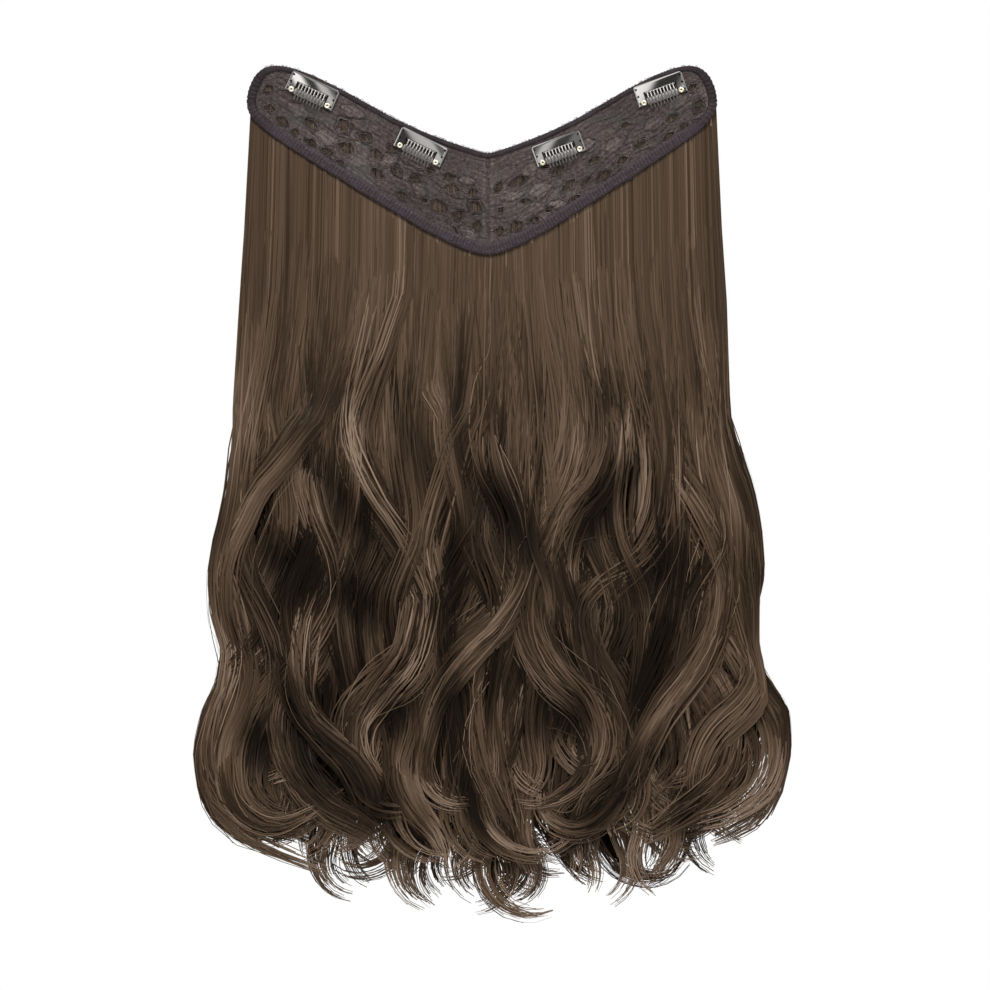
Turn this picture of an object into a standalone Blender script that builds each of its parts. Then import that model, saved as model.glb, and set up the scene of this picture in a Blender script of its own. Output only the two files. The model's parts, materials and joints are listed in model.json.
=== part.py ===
"""One-piece hair extension: a bowed V-shaped lace band with four snap comb clips and two layers
of wavy locks. Metres, +Z up, +X to the right as seen from the clips' side, +Y away from the head.
The origin is on the lining's head side, in the middle of the V.
"""
import math

import bmesh
import bpy
from mathutils import Matrix, Vector

# Band
LEFT_REACH = 0.1511
RIGHT_REACH = 0.1436
NOTCH_HEIGHT = 0.0307
TIP_DROP = 0.0331
ARM_RISE = 0.0553
BAND_BOW = 0.010
FIT_GAP = 0.0003

# One arm from the middle to its end: along (of the arm's reach), top (of ARM_RISE above the
# notch) and bottom (of the lower edge's rise above the tip)
ARM_SECTIONS = (
    (0.000, 0.000, 0.000),
    (0.060, 0.050, 0.018),
    (0.150, 0.130, 0.075),
    (0.270, 0.255, 0.172),
    (0.390, 0.405, 0.288),
    (0.500, 0.570, 0.390),
    (0.610, 0.735, 0.500),
    (0.720, 0.880, 0.608),
    (0.800, 0.960, 0.688),
    (0.875, 1.000, 0.765),
    (0.930, 0.968, 0.832),
    (0.970, 0.860, 0.893),
    (0.992, 0.710, 0.945),
    (1.000, 0.555, 1.000),
)

# Cloth
LINING_THICKNESS = 0.0010
TAPE_THICKNESS = 0.0010
TAPE_LEAF_LOWER = 0.0075
TAPE_LEAF_UPPER = 0.0032
TAPE_LEAF_BACK = 0.0032
TAPE_NARROW_SHARE = 0.80

# Leaf windows in the lace: along (of the arm's reach), across (of the band's height there, from
# the lower edge), length and width (of LEAF_LENGTH and LEAF_WIDTH), turn in degrees
LEAF_LENGTH = 0.0115
LEAF_WIDTH = 0.0048
LEAF_SIDES = 6
LEAVES = {
    -1: (
        (0.890, 0.62, 0.75, 0.90, -12),
        (0.850, 0.30, 0.90, 0.80, -38),
        (0.740, 0.26, 1.00, 0.95, -30),
        (0.600, 0.34, 1.05, 1.00, -34),
        (0.580, 0.66, 0.90, 0.80, -22),
        (0.460, 0.30, 1.15, 0.90, -30),
        (0.400, 0.62, 0.80, 0.80, -28),
        (0.260, 0.42, 0.85, 0.70, -35),
        (0.150, 0.44, 1.10, 1.20, -18),
        (0.140, 0.72, 1.00, 0.85, -4),
        (0.125, 0.22, 0.85, 0.80, -50),
    ),
    1: (
        (0.070, 0.66, 1.00, 0.90, 24),
        (0.060, 0.24, 0.80, 0.85, 60),
        (0.170, 0.54, 0.95, 1.00, 8),
        (0.190, 0.26, 1.00, 0.80, 30),
        (0.340, 0.50, 1.25, 0.90, 42),
        (0.370, 0.27, 0.80, 0.75, 34),
        (0.500, 0.36, 1.10, 1.00, 36),
        (0.580, 0.64, 1.15, 0.70, 40),
        (0.700, 0.44, 0.80, 0.80, 25),
        (0.800, 0.48, 0.95, 0.90, 40),
        (0.900, 0.52, 1.00, 1.00, 62),
    ),
}

# Snap comb clips, in their own axes: u along the plate, v up it, w out of the band
CLIP_LENGTH = 0.0320
CLIP_HEIGHT = 0.0132
CLIP_STRIP = 0.0053
ARM_WEB = 0.00035
CLIP_CORNER = 0.0018
CLIP_SHEET = 0.0005
SEWING_HOLE_RADIUS = 0.0007
SEWING_HOLE_INSET = 0.0015
SEWING_HOLE_HEAD = 0.0023
SEWING_HOLE_FOOT = 0.0017
HOLE_WEB = 0.00025
EYELET_RADIUS = 0.0017
EYELET_BORE = 0.0005
EYELET_SHANK = 0.0009
EYELET_FLANGE = 0.0006
EYELET_SIDES = 8
SLEEVE_END_GAP = 0.00045
SLEEVE_HEIGHT = 0.0043
SLEEVE_DEPTH = 0.0024
SLEEVE_SIDES = 10
BAR_THICKNESS = 0.0006
BAR_HEIGHT = 0.0018
BAR_TAB = 0.0038
TOOTH_COUNT = 9
TOOTH_END_GAP = 0.00032
TOOTH_WIDTH = 0.0012
TOOTH_TIP_WIDTH = 0.0008
TOOTH_OVERHANG = 0.0030
SPINE_HEIGHT = 0.0009

# Where the clips sit: name, arm, along (of its reach), centre below the band's top edge (of
# CLIP_HEIGHT) and tilt in degrees
CLIP_SEATS = (
    ("clip_1", -1, 0.728, 0.74, -24.5),
    ("clip_2", -1, 0.278, 0.78, -25.5),
    ("clip_3", 1, 0.308, 1.02, 20.0),
    ("clip_4", 1, 0.751, 0.77, 19.0),
)

# Hair
HAIR_HALF_WIDTH = 0.190
HAIR_DROP = 0.4445
WEFT_THICKNESS = 0.0030
WEFT_INSET = 0.0024
BACKING_DROP = 0.400
SWELL_CLEARANCE = 0.0025
BACKING_COLUMNS = 8
BACKING_ROWS = 6
BACKING_REACH = 0.0095
BACKING_SWELL_SHARE = 0.42
LOCK_SIDES = 6
INNER_LOCK_HALF_WIDTH = 0.0150
OUTER_LOCK_HALF_WIDTH = 0.0240
LOCK_START_DROP = 0.0520
LOCK_DEPTH_SHARE = 0.80
LOCK_SHIFT_SHARE = 0.13
WAVES_START_SPAN = 3
LAYER_HALF_DEPTH = 0.0115
LAYER_SWAY = 0.0100
LAYER_SPREAD = 0.0012

# Each layer of hair: name, half width of its locks, their rings for each span of the waves, how
# many of LOCKS to step for the next lock, and 1 or -1 for running across as in LOCKS or mirrored
LAYERS = (
    ("hair_inner", INNER_LOCK_HALF_WIDTH, 2, 1, 1),
    ("hair_outer", OUTER_LOCK_HALF_WIDTH, 1, 2, -1),
)

# A layer from just below the band: drop (of the hair's drop from there), swell (from the weft's
# thickness to the full depth) and sway towards the head (of LAYER_SWAY)
LAYER_SECTIONS = (
    (0.000, 0.00, 0.00),
    (0.130, 0.45, 0.20),
    (0.290, 0.65, 0.10),
    (0.450, 0.85, 0.45),
    (0.620, 0.95, 0.45),
    (0.780, 1.00, 0.80),
    (0.920, 0.90, 1.00),
    (1.050, 0.60, 0.70),
)

# A lock from where it leaves the backing: along (of its path) and width (of its half width)
LOCK_SECTIONS = (
    (0.00, 0.70),
    (0.12, 1.00),
    (0.78, 1.00),
    (0.90, 0.88),
    (0.97, 0.62),
    (1.00, 0.25),
)

# Where each lock runs: its start, its place across at each of LOCK_LEVELS (of HAIR_DROP) and its
# tip, all of HAIR_HALF_WIDTH, then the tip's drop (of HAIR_DROP)
LOCK_LEVELS = (0.207, 0.320, 0.419, 0.504, 0.588, 0.673, 0.757, 0.842)
LOCKS = (
    (-0.735, (-0.74, -0.74, -0.74, -0.81, -0.78, -0.79, -0.86, -0.84), -0.66, 0.920),
    (-0.610, (-0.61, -0.61, -0.60, -0.54, -0.58, -0.74, -0.80, -0.78), -0.52, 0.960),
    (-0.440, (-0.42, -0.47, -0.37, -0.25, -0.21, -0.35, -0.46, -0.38), -0.30, 0.965),
    (-0.250, (-0.22, -0.17, -0.18, -0.19, -0.12, -0.16, -0.26, -0.30), -0.22, 0.975),
    (-0.070, (0.01, -0.02, 0.01, -0.03, 0.01, -0.05, -0.09, -0.02), -0.11, 1.000),
    (0.120, (0.12, 0.12, 0.11, 0.04, 0.07, 0.09, 0.14, 0.11), 0.06, 0.972),
    (0.240, (0.27, 0.30, 0.25, 0.17, 0.14, 0.29, 0.40, 0.25), 0.20, 0.965),
    (0.370, (0.37, 0.42, 0.37, 0.29, 0.26, 0.34, 0.50, 0.45), 0.38, 0.955),
    (0.500, (0.51, 0.55, 0.57, 0.41, 0.33, 0.44, 0.57, 0.60), 0.50, 0.960),
    (0.600, (0.62, 0.63, 0.68, 0.75, 0.74, 0.65, 0.50, 0.37), 0.30, 0.930),
    (0.700, (0.72, 0.74, 0.79, 0.79, 0.75, 0.83, 0.89, 0.85), 0.68, 0.915),
)

# Places on a clip, worked out from the sizes above
EYELET_INSET = SEWING_HOLE_INSET + SEWING_HOLE_RADIUS + HOLE_WEB + EYELET_SHANK + FIT_GAP
EYELET_SPACING = CLIP_LENGTH - 2 * EYELET_INSET
EYELET_DROP = CLIP_HEIGHT / 2 - SEWING_HOLE_FOOT
SEWING_HOLE_PITCH = (CLIP_HEIGHT - SEWING_HOLE_FOOT - SEWING_HOLE_HEAD) / 2
CLIP_ARM = EYELET_INSET + EYELET_SHANK + FIT_GAP + ARM_WEB
SLEEVE_LENGTH = EYELET_SPACING - BAR_TAB - 2 * SLEEVE_END_GAP
TOOTH_PITCH = (SLEEVE_LENGTH - 2 * (TOOTH_WIDTH + TOOTH_END_GAP)) / (TOOTH_COUNT - 1)

# Heights out of the band, worked out from the sizes above
PLATE_BACK = FIT_GAP + TAPE_THICKNESS + FIT_GAP
PLATE_MIDDLE = PLATE_BACK + CLIP_SHEET / 2
SLEEVE_MIDDLE = FIT_GAP + SLEEVE_DEPTH / 2
TAB_MIDDLE = PLATE_BACK - FIT_GAP - BAR_THICKNESS / 2
TOOTH_CREST = FIT_GAP + SLEEVE_DEPTH + FIT_GAP + CLIP_SHEET / 2
HINGE_DROP = CLIP_STRIP + FIT_GAP + CLIP_SHEET / 2
WEFT_FRONT = LINING_THICKNESS + FIT_GAP + TAPE_THICKNESS + FIT_GAP
SWELL_START_DROP = TIP_DROP + SWELL_CLEARANCE


def lerp(start, end, share):
    return start + (end - start) * share


def table_value(table, column, position):
    """Read one column of a table at a position in its first column."""
    for lower, upper in zip(table, table[1:]):
        if position <= upper[0]:
            share = (position - lower[0]) / (upper[0] - lower[0])
            return lerp(lower[column], upper[column], max(share, 0.0))
    return table[-1][column]


def reach_of(side):
    return LEFT_REACH if side < 0 else RIGHT_REACH


def bow_at(x):
    """How far the band and the hair curve towards the head at x."""
    return -BAND_BOW * (x / LEFT_REACH) ** 2


def top_height(share):
    return NOTCH_HEIGHT + ARM_RISE * table_value(ARM_SECTIONS, 1, share)


def bottom_height(share):
    rise = TIP_DROP + NOTCH_HEIGHT + ARM_RISE * ARM_SECTIONS[-1][1]
    return rise * table_value(ARM_SECTIONS, 2, share) - TIP_DROP


def new_collection(name):
    collection = bpy.data.collections.new(name)
    bpy.context.scene.collection.children.link(collection)
    return collection


def new_material(name, colour, roughness, metallic=0.0):
    material = bpy.data.materials.new(name)
    material.use_nodes = True
    shader = material.node_tree.nodes["Principled BSDF"]
    shader.inputs["Base Color"].default_value = (*colour, 1.0)
    shader.inputs["Roughness"].default_value = roughness
    shader.inputs["Metallic"].default_value = metallic
    material.diffuse_color = (*colour, 1.0)
    return material


def piece_from(builder, name, collection, material=None):
    """Turn a bmesh into a named object whose faces point out."""
    bmesh.ops.recalc_face_normals(builder, faces=builder.faces)
    mesh = bpy.data.meshes.new(name)
    builder.to_mesh(mesh)
    builder.free()
    if material:
        mesh.materials.append(material)
    piece = bpy.data.objects.new(name, mesh)
    collection.objects.link(piece)
    return piece


def cutter_from(builder, name, collection):
    cutter = piece_from(builder, name, collection)
    cutter.hide_render = True
    cutter.display_type = "WIRE"
    return cutter


def add_boolean(piece, operand, operation, solver="EXACT"):
    modifier = piece.modifiers.new(operand.name, "BOOLEAN")
    modifier.object = operand
    modifier.operation = operation
    modifier.solver = solver


def bridge_rings(builder, rings, around=False):
    """Join rings of vertices with quads, and the last to the first if the path closes."""
    followers = rings[1:] + rings[:1] if around else rings[1:]
    for ring, following in zip(rings, followers):
        for k in range(len(ring)):
            after = (k + 1) % len(ring)
            builder.faces.new((ring[k], ring[after], following[after], following[k]))


def tube_between(builder, rings):
    bridge_rings(builder, rings)
    builder.faces.new(rings[0])
    builder.faces.new(rings[-1])


def thick_sheet(builder, columns, front_depth, back_depth):
    """Close a grid of (x, z) columns into a sheet between two depths read at each height."""
    faces = []
    for depth in (front_depth, back_depth):
        faces.append([[builder.verts.new((x, depth(z) + bow_at(x), z)) for x, z in column]
                      for column in columns])
    for side in faces:
        for left, right in zip(side, side[1:]):
            for k in range(len(left) - 1):
                builder.faces.new((left[k], right[k], right[k + 1], left[k + 1]))
    front, back = faces
    border = [(i, 0) for i in range(len(columns))]
    border += [(len(columns) - 1, k) for k in range(1, len(columns[0]))]
    border += [(i, len(columns[0]) - 1) for i in range(len(columns) - 2, -1, -1)]
    border += [(0, k) for k in range(len(columns[0]) - 2, 0, -1)]
    for here, there in zip(border, border[1:] + border[:1]):
        i, k = here
        m, n = there
        builder.faces.new((front[i][k], front[m][n], back[m][n], back[i][k]))
    bmesh.ops.remove_doubles(builder, verts=builder.verts, dist=0.00001)


def circle(u, v, radius, sides, squash=1.0):
    """Points of a circle, or of an ellipse that is flatter in v."""
    angles = [2 * math.pi * (k + 0.5) / sides for k in range(sides)]
    return [(u + radius * math.cos(a), v + radius * squash * math.sin(a)) for a in angles]


def flat_piece(name, outline, holes, thickness):
    """Extrude a flat outline with holes as a 2D curve, and return it as a welded bmesh."""
    curve = bpy.data.curves.new(name, "CURVE")
    curve.dimensions = "2D"
    curve.fill_mode = "BOTH"
    curve.extrude = thickness / 2
    for loop in (outline, *holes):
        spline = curve.splines.new("POLY")
        spline.points.add(len(loop) - 1)
        for point, place in zip(spline.points, loop):
            point.co = (*place, 0.0, 1.0)
        spline.use_cyclic_u = True
    flat = bpy.data.objects.new(name, curve)
    bpy.context.scene.collection.objects.link(flat)
    graph = bpy.context.evaluated_depsgraph_get()
    mesh = bpy.data.meshes.new_from_object(flat.evaluated_get(graph))
    builder = bmesh.new()
    builder.from_mesh(mesh)
    bmesh.ops.remove_doubles(builder, verts=builder.verts, dist=0.00001)
    bpy.data.objects.remove(flat)
    bpy.data.curves.remove(curve)
    bpy.data.meshes.remove(mesh)
    return builder


def band_loop(inset_of):
    """The band's edge, clockwise from its left end, moved inwards by inset_of(share, on_top)."""
    shares = [row[0] for row in ARM_SECTIONS]
    walk = [(-1, share, True) for share in reversed(shares)]
    walk += [(1, share, True) for share in shares[1:]]
    walk += [(1, share, False) for share in reversed(shares[:-1])]
    walk += [(-1, share, False) for share in shares[1:-1]]
    edge = []
    for side, share, on_top in walk:
        height = top_height(share) if on_top else bottom_height(share)
        edge.append(Vector((side * reach_of(side) * share, height)))
    loop = []
    for k, corner in enumerate(edge):
        run_in = (corner - edge[k - 1]).normalized()
        run_out = (edge[(k + 1) % len(edge)] - corner).normalized()
        turn = (run_in + run_out).normalized()
        inset = inset_of(*walk[k][1:]) / turn.dot(run_in)
        loop.append(corner + Vector((turn.y, -turn.x)) * inset)
    return loop


def tape_leaf(share, on_top):
    """Width of the binding's front leaf, which narrows towards the band's ends."""
    if on_top:
        return TAPE_LEAF_UPPER
    narrowing = (share - TAPE_NARROW_SHARE) / (1.0 - TAPE_NARROW_SHARE)
    return lerp(TAPE_LEAF_LOWER, TAPE_LEAF_UPPER, max(narrowing, 0.0))


def build_lining(parts, cutters, material):
    """The lace cloth: a slab inside the folded tape, with leaf windows cut through it."""
    loop = band_loop(lambda share, on_top: TAPE_THICKNESS + FIT_GAP)
    last = len(loop) // 2
    columns = [(loop[k], loop[-k]) for k in range(last)] + [(loop[last], loop[last])]
    builder = bmesh.new()
    thick_sheet(builder, columns, lambda z: 0.0, lambda z: LINING_THICKNESS)
    lining = piece_from(builder, "lace_lining", parts, material)
    leaves = bmesh.new()
    for side, rows in LEAVES.items():
        for along, across, length, width, turn in rows:
            x = side * reach_of(side) * along
            z = lerp(bottom_height(along), top_height(along), across)
            squash = (LEAF_WIDTH * width) / (LEAF_LENGTH * length)
            outline = circle(0.0, 0.0, LEAF_LENGTH * length / 2, LEAF_SIDES, squash)
            turned = Matrix.Rotation(math.radians(turn), 2)
            rings = []
            for depth in (-LINING_THICKNESS, 2 * LINING_THICKNESS):
                ring = []
                for corner in outline:
                    u, v = turned @ Vector(corner)
                    ring.append(leaves.verts.new((x + u, depth + bow_at(x), z + v)))
                rings.append(ring)
            tube_between(leaves, rings)
    add_boolean(lining, cutter_from(leaves, "leaf_cutters", cutters), "DIFFERENCE")


def build_binding(parts, material):
    """The tape folded over the whole edge: a front leaf, an edge wall and a back leaf."""
    outer = band_loop(lambda share, on_top: 0.0)
    wall = band_loop(lambda share, on_top: TAPE_THICKNESS)
    front_leaf = band_loop(tape_leaf)
    back_leaf = band_loop(lambda share, on_top: TAPE_LEAF_BACK)
    front = -FIT_GAP
    back = LINING_THICKNESS + FIT_GAP
    section = (
        (outer, front - TAPE_THICKNESS),
        (front_leaf, front - TAPE_THICKNESS),
        (front_leaf, front),
        (wall, front),
        (wall, back),
        (back_leaf, back),
        (back_leaf, back + TAPE_THICKNESS),
        (outer, back + TAPE_THICKNESS),
    )
    builder = bmesh.new()
    rings = []
    for k in range(len(outer)):
        ring = []
        for loop, depth in section:
            x, z = loop[k]
            ring.append(builder.verts.new((x, depth + bow_at(x), z)))
        rings.append(ring)
    bridge_rings(builder, rings, around=True)
    piece_from(builder, "edge_binding", parts, material)


def clip_matrix(side, along, below, tilt):
    """Place of a clip's middle on the lining: u along the plate, v up it, w towards the head."""
    x = side * reach_of(side) * along
    z = top_height(along) - below * CLIP_HEIGHT
    slope = -2 * BAND_BOW * x / LEFT_REACH ** 2
    level = Vector((1.0, slope, 0.0)).normalized()
    outward = Vector((slope, -1.0, 0.0)).normalized()
    up = Vector((0.0, 0.0, 1.0))
    angle = math.radians(tilt)
    u = level * math.cos(angle) + up * math.sin(angle)
    v = outward.cross(u)
    axes = Matrix((u, v, outward)).transposed().to_4x4()
    return Matrix.Translation((x, bow_at(x), z)) @ axes


def plate_outline():
    """An inverted U with rounded top corners; its window is open at the bottom."""
    half_length = CLIP_LENGTH / 2
    half_height = CLIP_HEIGHT / 2
    window = half_length - CLIP_ARM
    points = []
    for side, start in ((-1, 180), (1, 90)):
        centre_u = side * (half_length - CLIP_CORNER)
        for step in range(4):
            angle = math.radians(start - 30 * step)
            points.append((centre_u + CLIP_CORNER * math.cos(angle),
                           half_height - CLIP_CORNER + CLIP_CORNER * math.sin(angle)))
    points += [(half_length, -half_height), (window, -half_height)]
    points += [(window, half_height - CLIP_STRIP), (-window, half_height - CLIP_STRIP)]
    points += [(-window, -half_height), (-half_length, -half_height)]
    return points


def build_plate():
    holes = []
    for side in (-1, 1):
        eyelet_u = side * EYELET_SPACING / 2
        holes.append(circle(eyelet_u, -EYELET_DROP, EYELET_SHANK + FIT_GAP, EYELET_SIDES))
        hole_u = side * (CLIP_LENGTH / 2 - SEWING_HOLE_INSET)
        for row in range(3):
            hole_v = row * SEWING_HOLE_PITCH - EYELET_DROP
            holes.append(circle(hole_u, hole_v, SEWING_HOLE_RADIUS, 6))
    builder = flat_piece("plate", plate_outline(), holes, CLIP_SHEET)
    bmesh.ops.translate(builder, verts=builder.verts, vec=(0.0, 0.0, PLATE_MIDDLE))
    return builder


def build_comb():
    """Spine and teeth as one bent surface, its origin on the hinge line along the spine."""
    spine_top = CLIP_HEIGHT / 2 - CLIP_STRIP - FIT_GAP
    hinge_v = CLIP_HEIGHT / 2 - HINGE_DROP
    spine_end = (TOOTH_COUNT - 1) / 2 * TOOTH_PITCH + TOOTH_WIDTH
    sleeve_top = -EYELET_DROP + SLEEVE_HEIGHT / 2
    sleeve_bottom = -EYELET_DROP - SLEEVE_HEIGHT / 2
    profile = (
        (sleeve_top, TOOTH_CREST, TOOTH_WIDTH),
        (sleeve_bottom, TOOTH_CREST, TOOTH_WIDTH),
        (sleeve_bottom - TOOTH_OVERHANG, TOOTH_CREST - CLIP_SHEET, TOOTH_TIP_WIDTH),
    )
    builder = bmesh.new()

    def corner(u, v, w):
        return builder.verts.new((u, v - hinge_v, w - PLATE_MIDDLE))

    edges = [-spine_end]
    for k in range(TOOTH_COUNT):
        middle = (k - (TOOTH_COUNT - 1) / 2) * TOOTH_PITCH
        edges += [middle - TOOTH_WIDTH / 2, middle + TOOTH_WIDTH / 2]
    edges.append(spine_end)
    upper = [corner(u, spine_top, PLATE_MIDDLE) for u in edges]
    lower = [corner(u, spine_top - SPINE_HEIGHT, PLATE_MIDDLE) for u in edges]
    for k in range(len(edges) - 1):
        builder.faces.new((upper[k], lower[k], lower[k + 1], upper[k + 1]))
    for k in range(TOOTH_COUNT):
        middle = (k - (TOOTH_COUNT - 1) / 2) * TOOTH_PITCH
        left, right = lower[2 * k + 1], lower[2 * k + 2]
        for v, w, width in profile:
            next_left = corner(middle - width / 2, v, w)
            next_right = corner(middle + width / 2, v, w)
            builder.faces.new((left, next_left, next_right, right))
            left, right = next_left, next_right
    return builder


def build_bar():
    """A flat strip through the sleeve, stepped down to a tab under the plate at each end."""
    tab_start = EYELET_SPACING / 2 - BAR_TAB / 2
    tab_end = EYELET_SPACING / 2 + BAR_TAB / 2
    core_end = SLEEVE_LENGTH / 2
    stations = []
    for side in (-1, 1):
        half = [
            (side * tab_end, BAR_HEIGHT / 2, TAB_MIDDLE),
            (side * EYELET_SPACING / 2, BAR_TAB / 2, TAB_MIDDLE),
            (side * tab_start, BAR_HEIGHT / 2, TAB_MIDDLE),
            (side * core_end, BAR_HEIGHT / 2, SLEEVE_MIDDLE),
        ]
        stations += half if side < 0 else reversed(half)
    builder = bmesh.new()
    rows = []
    for u, half_height, w in stations:
        rows.append([builder.verts.new((u, v - EYELET_DROP, w)) for v in (half_height, -half_height)])
    for near, far in zip(rows, rows[1:]):
        builder.faces.new((near[0], near[1], far[1], far[0]))
    return builder


def build_shank_cutters():
    """Two pins through the bar's tabs, where the eyelets pass."""
    builder = bmesh.new()
    for side in (-1, 1):
        place = Matrix.Translation((side * EYELET_SPACING / 2, -EYELET_DROP, TAB_MIDDLE))
        bmesh.ops.create_cone(builder, cap_ends=True, segments=EYELET_SIDES,
                              radius1=EYELET_SHANK + FIT_GAP, radius2=EYELET_SHANK + FIT_GAP,
                              depth=4 * BAR_THICKNESS, matrix=place)
    return builder


def build_sleeve():
    bore_height = BAR_HEIGHT / 2 + FIT_GAP
    bore_depth = BAR_THICKNESS / 2 + FIT_GAP
    outline = circle(0.0, 0.0, SLEEVE_HEIGHT / 2, SLEEVE_SIDES, SLEEVE_DEPTH / SLEEVE_HEIGHT)
    bore = [(v * bore_height, w * bore_depth) for v, w in ((-1, -1), (1, -1), (1, 1), (-1, 1))]
    builder = flat_piece("sleeve", outline, [bore], SLEEVE_LENGTH)
    for vertex in builder.verts:
        v, w, u = vertex.co
        vertex.co = (u, v - EYELET_DROP, w + SLEEVE_MIDDLE)
    return builder


def build_eyelet():
    """Half section of the eyelet, down its outer side and up its bore, for a Screw modifier."""
    head_back = PLATE_BACK + CLIP_SHEET + FIT_GAP
    head_front = head_back + EYELET_FLANGE
    foot = TAB_MIDDLE - BAR_THICKNESS / 2
    profile = (
        (EYELET_RADIUS, head_front),
        (EYELET_RADIUS, head_back),
        (EYELET_SHANK, head_back),
        (EYELET_SHANK, foot),
        (EYELET_BORE, foot),
        (EYELET_BORE, head_front),
    )
    mesh = bpy.data.meshes.new("eyelet")
    edges = [(k, (k + 1) % len(profile)) for k in range(len(profile))]
    mesh.from_pydata([(radius, 0.0, height) for radius, height in profile], edges, [])
    return mesh


def add_screw(piece):
    screw = piece.modifiers.new("turn", "SCREW")
    screw.axis = "Z"
    screw.steps = EYELET_SIDES
    screw.render_steps = EYELET_SIDES
    screw.use_merge_vertices = True
    screw.merge_threshold = 0.00001


def add_sheet_thickness(piece, thickness):
    solidify = piece.modifiers.new("thickness", "SOLIDIFY")
    solidify.thickness = thickness
    solidify.offset = 0.0
    solidify.use_even_offset = True


def build_clips(parts, cutters, materials):
    steel, sleeve_grey, eyelet_metal = materials
    plate_mesh = build_plate()
    comb_mesh = build_comb()
    bar_mesh = build_bar()
    sleeve_mesh = build_sleeve()
    patterns = {
        "plate": piece_from(plate_mesh, "plate_pattern", cutters, steel).data,
        "comb": piece_from(comb_mesh, "comb_pattern", cutters, steel).data,
        "bar": piece_from(bar_mesh, "bar_pattern", cutters, steel).data,
        "sleeve": piece_from(sleeve_mesh, "sleeve_pattern", cutters, sleeve_grey).data,
        "eyelet": build_eyelet(),
    }
    patterns["eyelet"].materials.append(eyelet_metal)
    for pattern in list(cutters.objects):
        if pattern.name.endswith("_pattern"):
            bpy.data.objects.remove(pattern)
    hinge = Matrix.Translation((0.0, CLIP_HEIGHT / 2 - HINGE_DROP, PLATE_MIDDLE))
    for name, side, along, below, tilt in CLIP_SEATS:
        seat = bpy.data.objects.new(name + "_seat", None)
        seat.matrix_world = clip_matrix(side, along, below, tilt)
        parts.objects.link(seat)

        def place(suffix, pattern, matrix=Matrix()):
            piece = bpy.data.objects.new(f"{name}_{suffix}", patterns[pattern])
            piece.parent = seat
            piece.matrix_local = matrix
            parts.objects.link(piece)
            return piece

        place("plate", "plate")
        place("sleeve", "sleeve")
        comb = place("comb", "comb", hinge)
        add_sheet_thickness(comb, CLIP_SHEET)
        bar = place("bar", "bar")
        add_sheet_thickness(bar, BAR_THICKNESS)
        pins = cutter_from(build_shank_cutters(), name + "_pins", cutters)
        pins.parent = seat
        add_boolean(bar, pins, "DIFFERENCE")
        for suffix, eyelet_side in (("eyelet_left", -1), ("eyelet_right", 1)):
            eyelet_place = Matrix.Translation((eyelet_side * EYELET_SPACING / 2, -EYELET_DROP, 0.0))
            add_screw(place(suffix, "eyelet", eyelet_place))


def layer_value(column, z):
    """Read LAYER_SECTIONS at height z; the band's own zone has the first row's values."""
    drop = (-z - SWELL_START_DROP) / (HAIR_DROP - SWELL_START_DROP)
    return table_value(LAYER_SECTIONS, column, drop)


def half_depth(z):
    """Half the depth of a hair layer at height z."""
    return lerp(WEFT_THICKNESS / 2, LAYER_HALF_DEPTH, layer_value(1, z))


def backing_half_depth(z):
    """Half the thickness of a layer's backing, which the locks stand out from as they start."""
    return lerp(WEFT_THICKNESS / 2, half_depth(z), BACKING_SWELL_SHARE)


def layer_depth(layer, z):
    """Middle of a hair layer at height z: layer 0 lies next to the head, layer 1 behind it."""
    sway = LAYER_SWAY * layer_value(2, z)
    spread = FIT_GAP + LAYER_SPREAD * layer_value(1, z)
    return WEFT_FRONT + WEFT_THICKNESS / 2 - sway + layer * (2 * half_depth(z) + spread)


def lock_points(lock, facing):
    """A lock's start, levels and tip as (x, z); facing -1 mirrors it."""
    start, places, tip, tip_drop = lock
    points = [Vector((facing * start * HAIR_HALF_WIDTH, -LOCK_START_DROP))]
    for level, place in zip(LOCK_LEVELS, places):
        points.append(Vector((facing * place * HAIR_HALF_WIDTH, -level * HAIR_DROP)))
    points.append(Vector((facing * tip * HAIR_HALF_WIDTH, -tip_drop * HAIR_DROP)))
    return points


def smooth_path(points, rings_per_span):
    """A curve through the points, with rings_per_span places on each span of the waves."""
    padded = [2 * points[0] - points[1], *points, 2 * points[-1] - points[-2]]
    path = []
    for k in range(len(points) - 1):
        before, start, end, after = padded[k:k + 4]
        count = rings_per_span if k >= WAVES_START_SPAN else 1
        for step in range(count):
            t = step / count
            path.append(0.5 * (2 * start + (end - before) * t
                               + (2 * before - 5 * start + 4 * end - after) * t ** 2
                               + (3 * start - before - 3 * end + after) * t ** 3))
    path.append(points[-1])
    return path


def build_lock(layer, number, lock):
    """A wavy lock with an elliptical section, kept within its layer's depth."""
    _, half_width, rings_per_span, _, facing = LAYERS[layer]
    path = smooth_path(lock_points(lock, facing), rings_per_span)
    shift = LOCK_SHIFT_SHARE * (1 if number % 2 else -1)
    builder = bmesh.new()
    rings = []
    for k, middle in enumerate(path):
        ahead = path[min(k + 1, len(path) - 1)] - path[max(k - 1, 0)]
        across = Vector((-ahead.y, ahead.x)).normalized()
        width_share = table_value(LOCK_SECTIONS, 1, k / (len(path) - 1))
        taper = min(width_share / LOCK_SECTIONS[0][1], 1.0)
        ring = []
        for share_across, share_deep in circle(0.0, 0.0, 1.0, LOCK_SIDES):
            x, z = middle + across * half_width * width_share * share_across
            deep = (share_deep * LOCK_DEPTH_SHARE * taper + shift) * half_depth(z)
            ring.append(builder.verts.new((x, layer_depth(layer, z) + deep + bow_at(x), z)))
        rings.append(ring)
    tube_between(builder, rings)
    return builder


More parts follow.
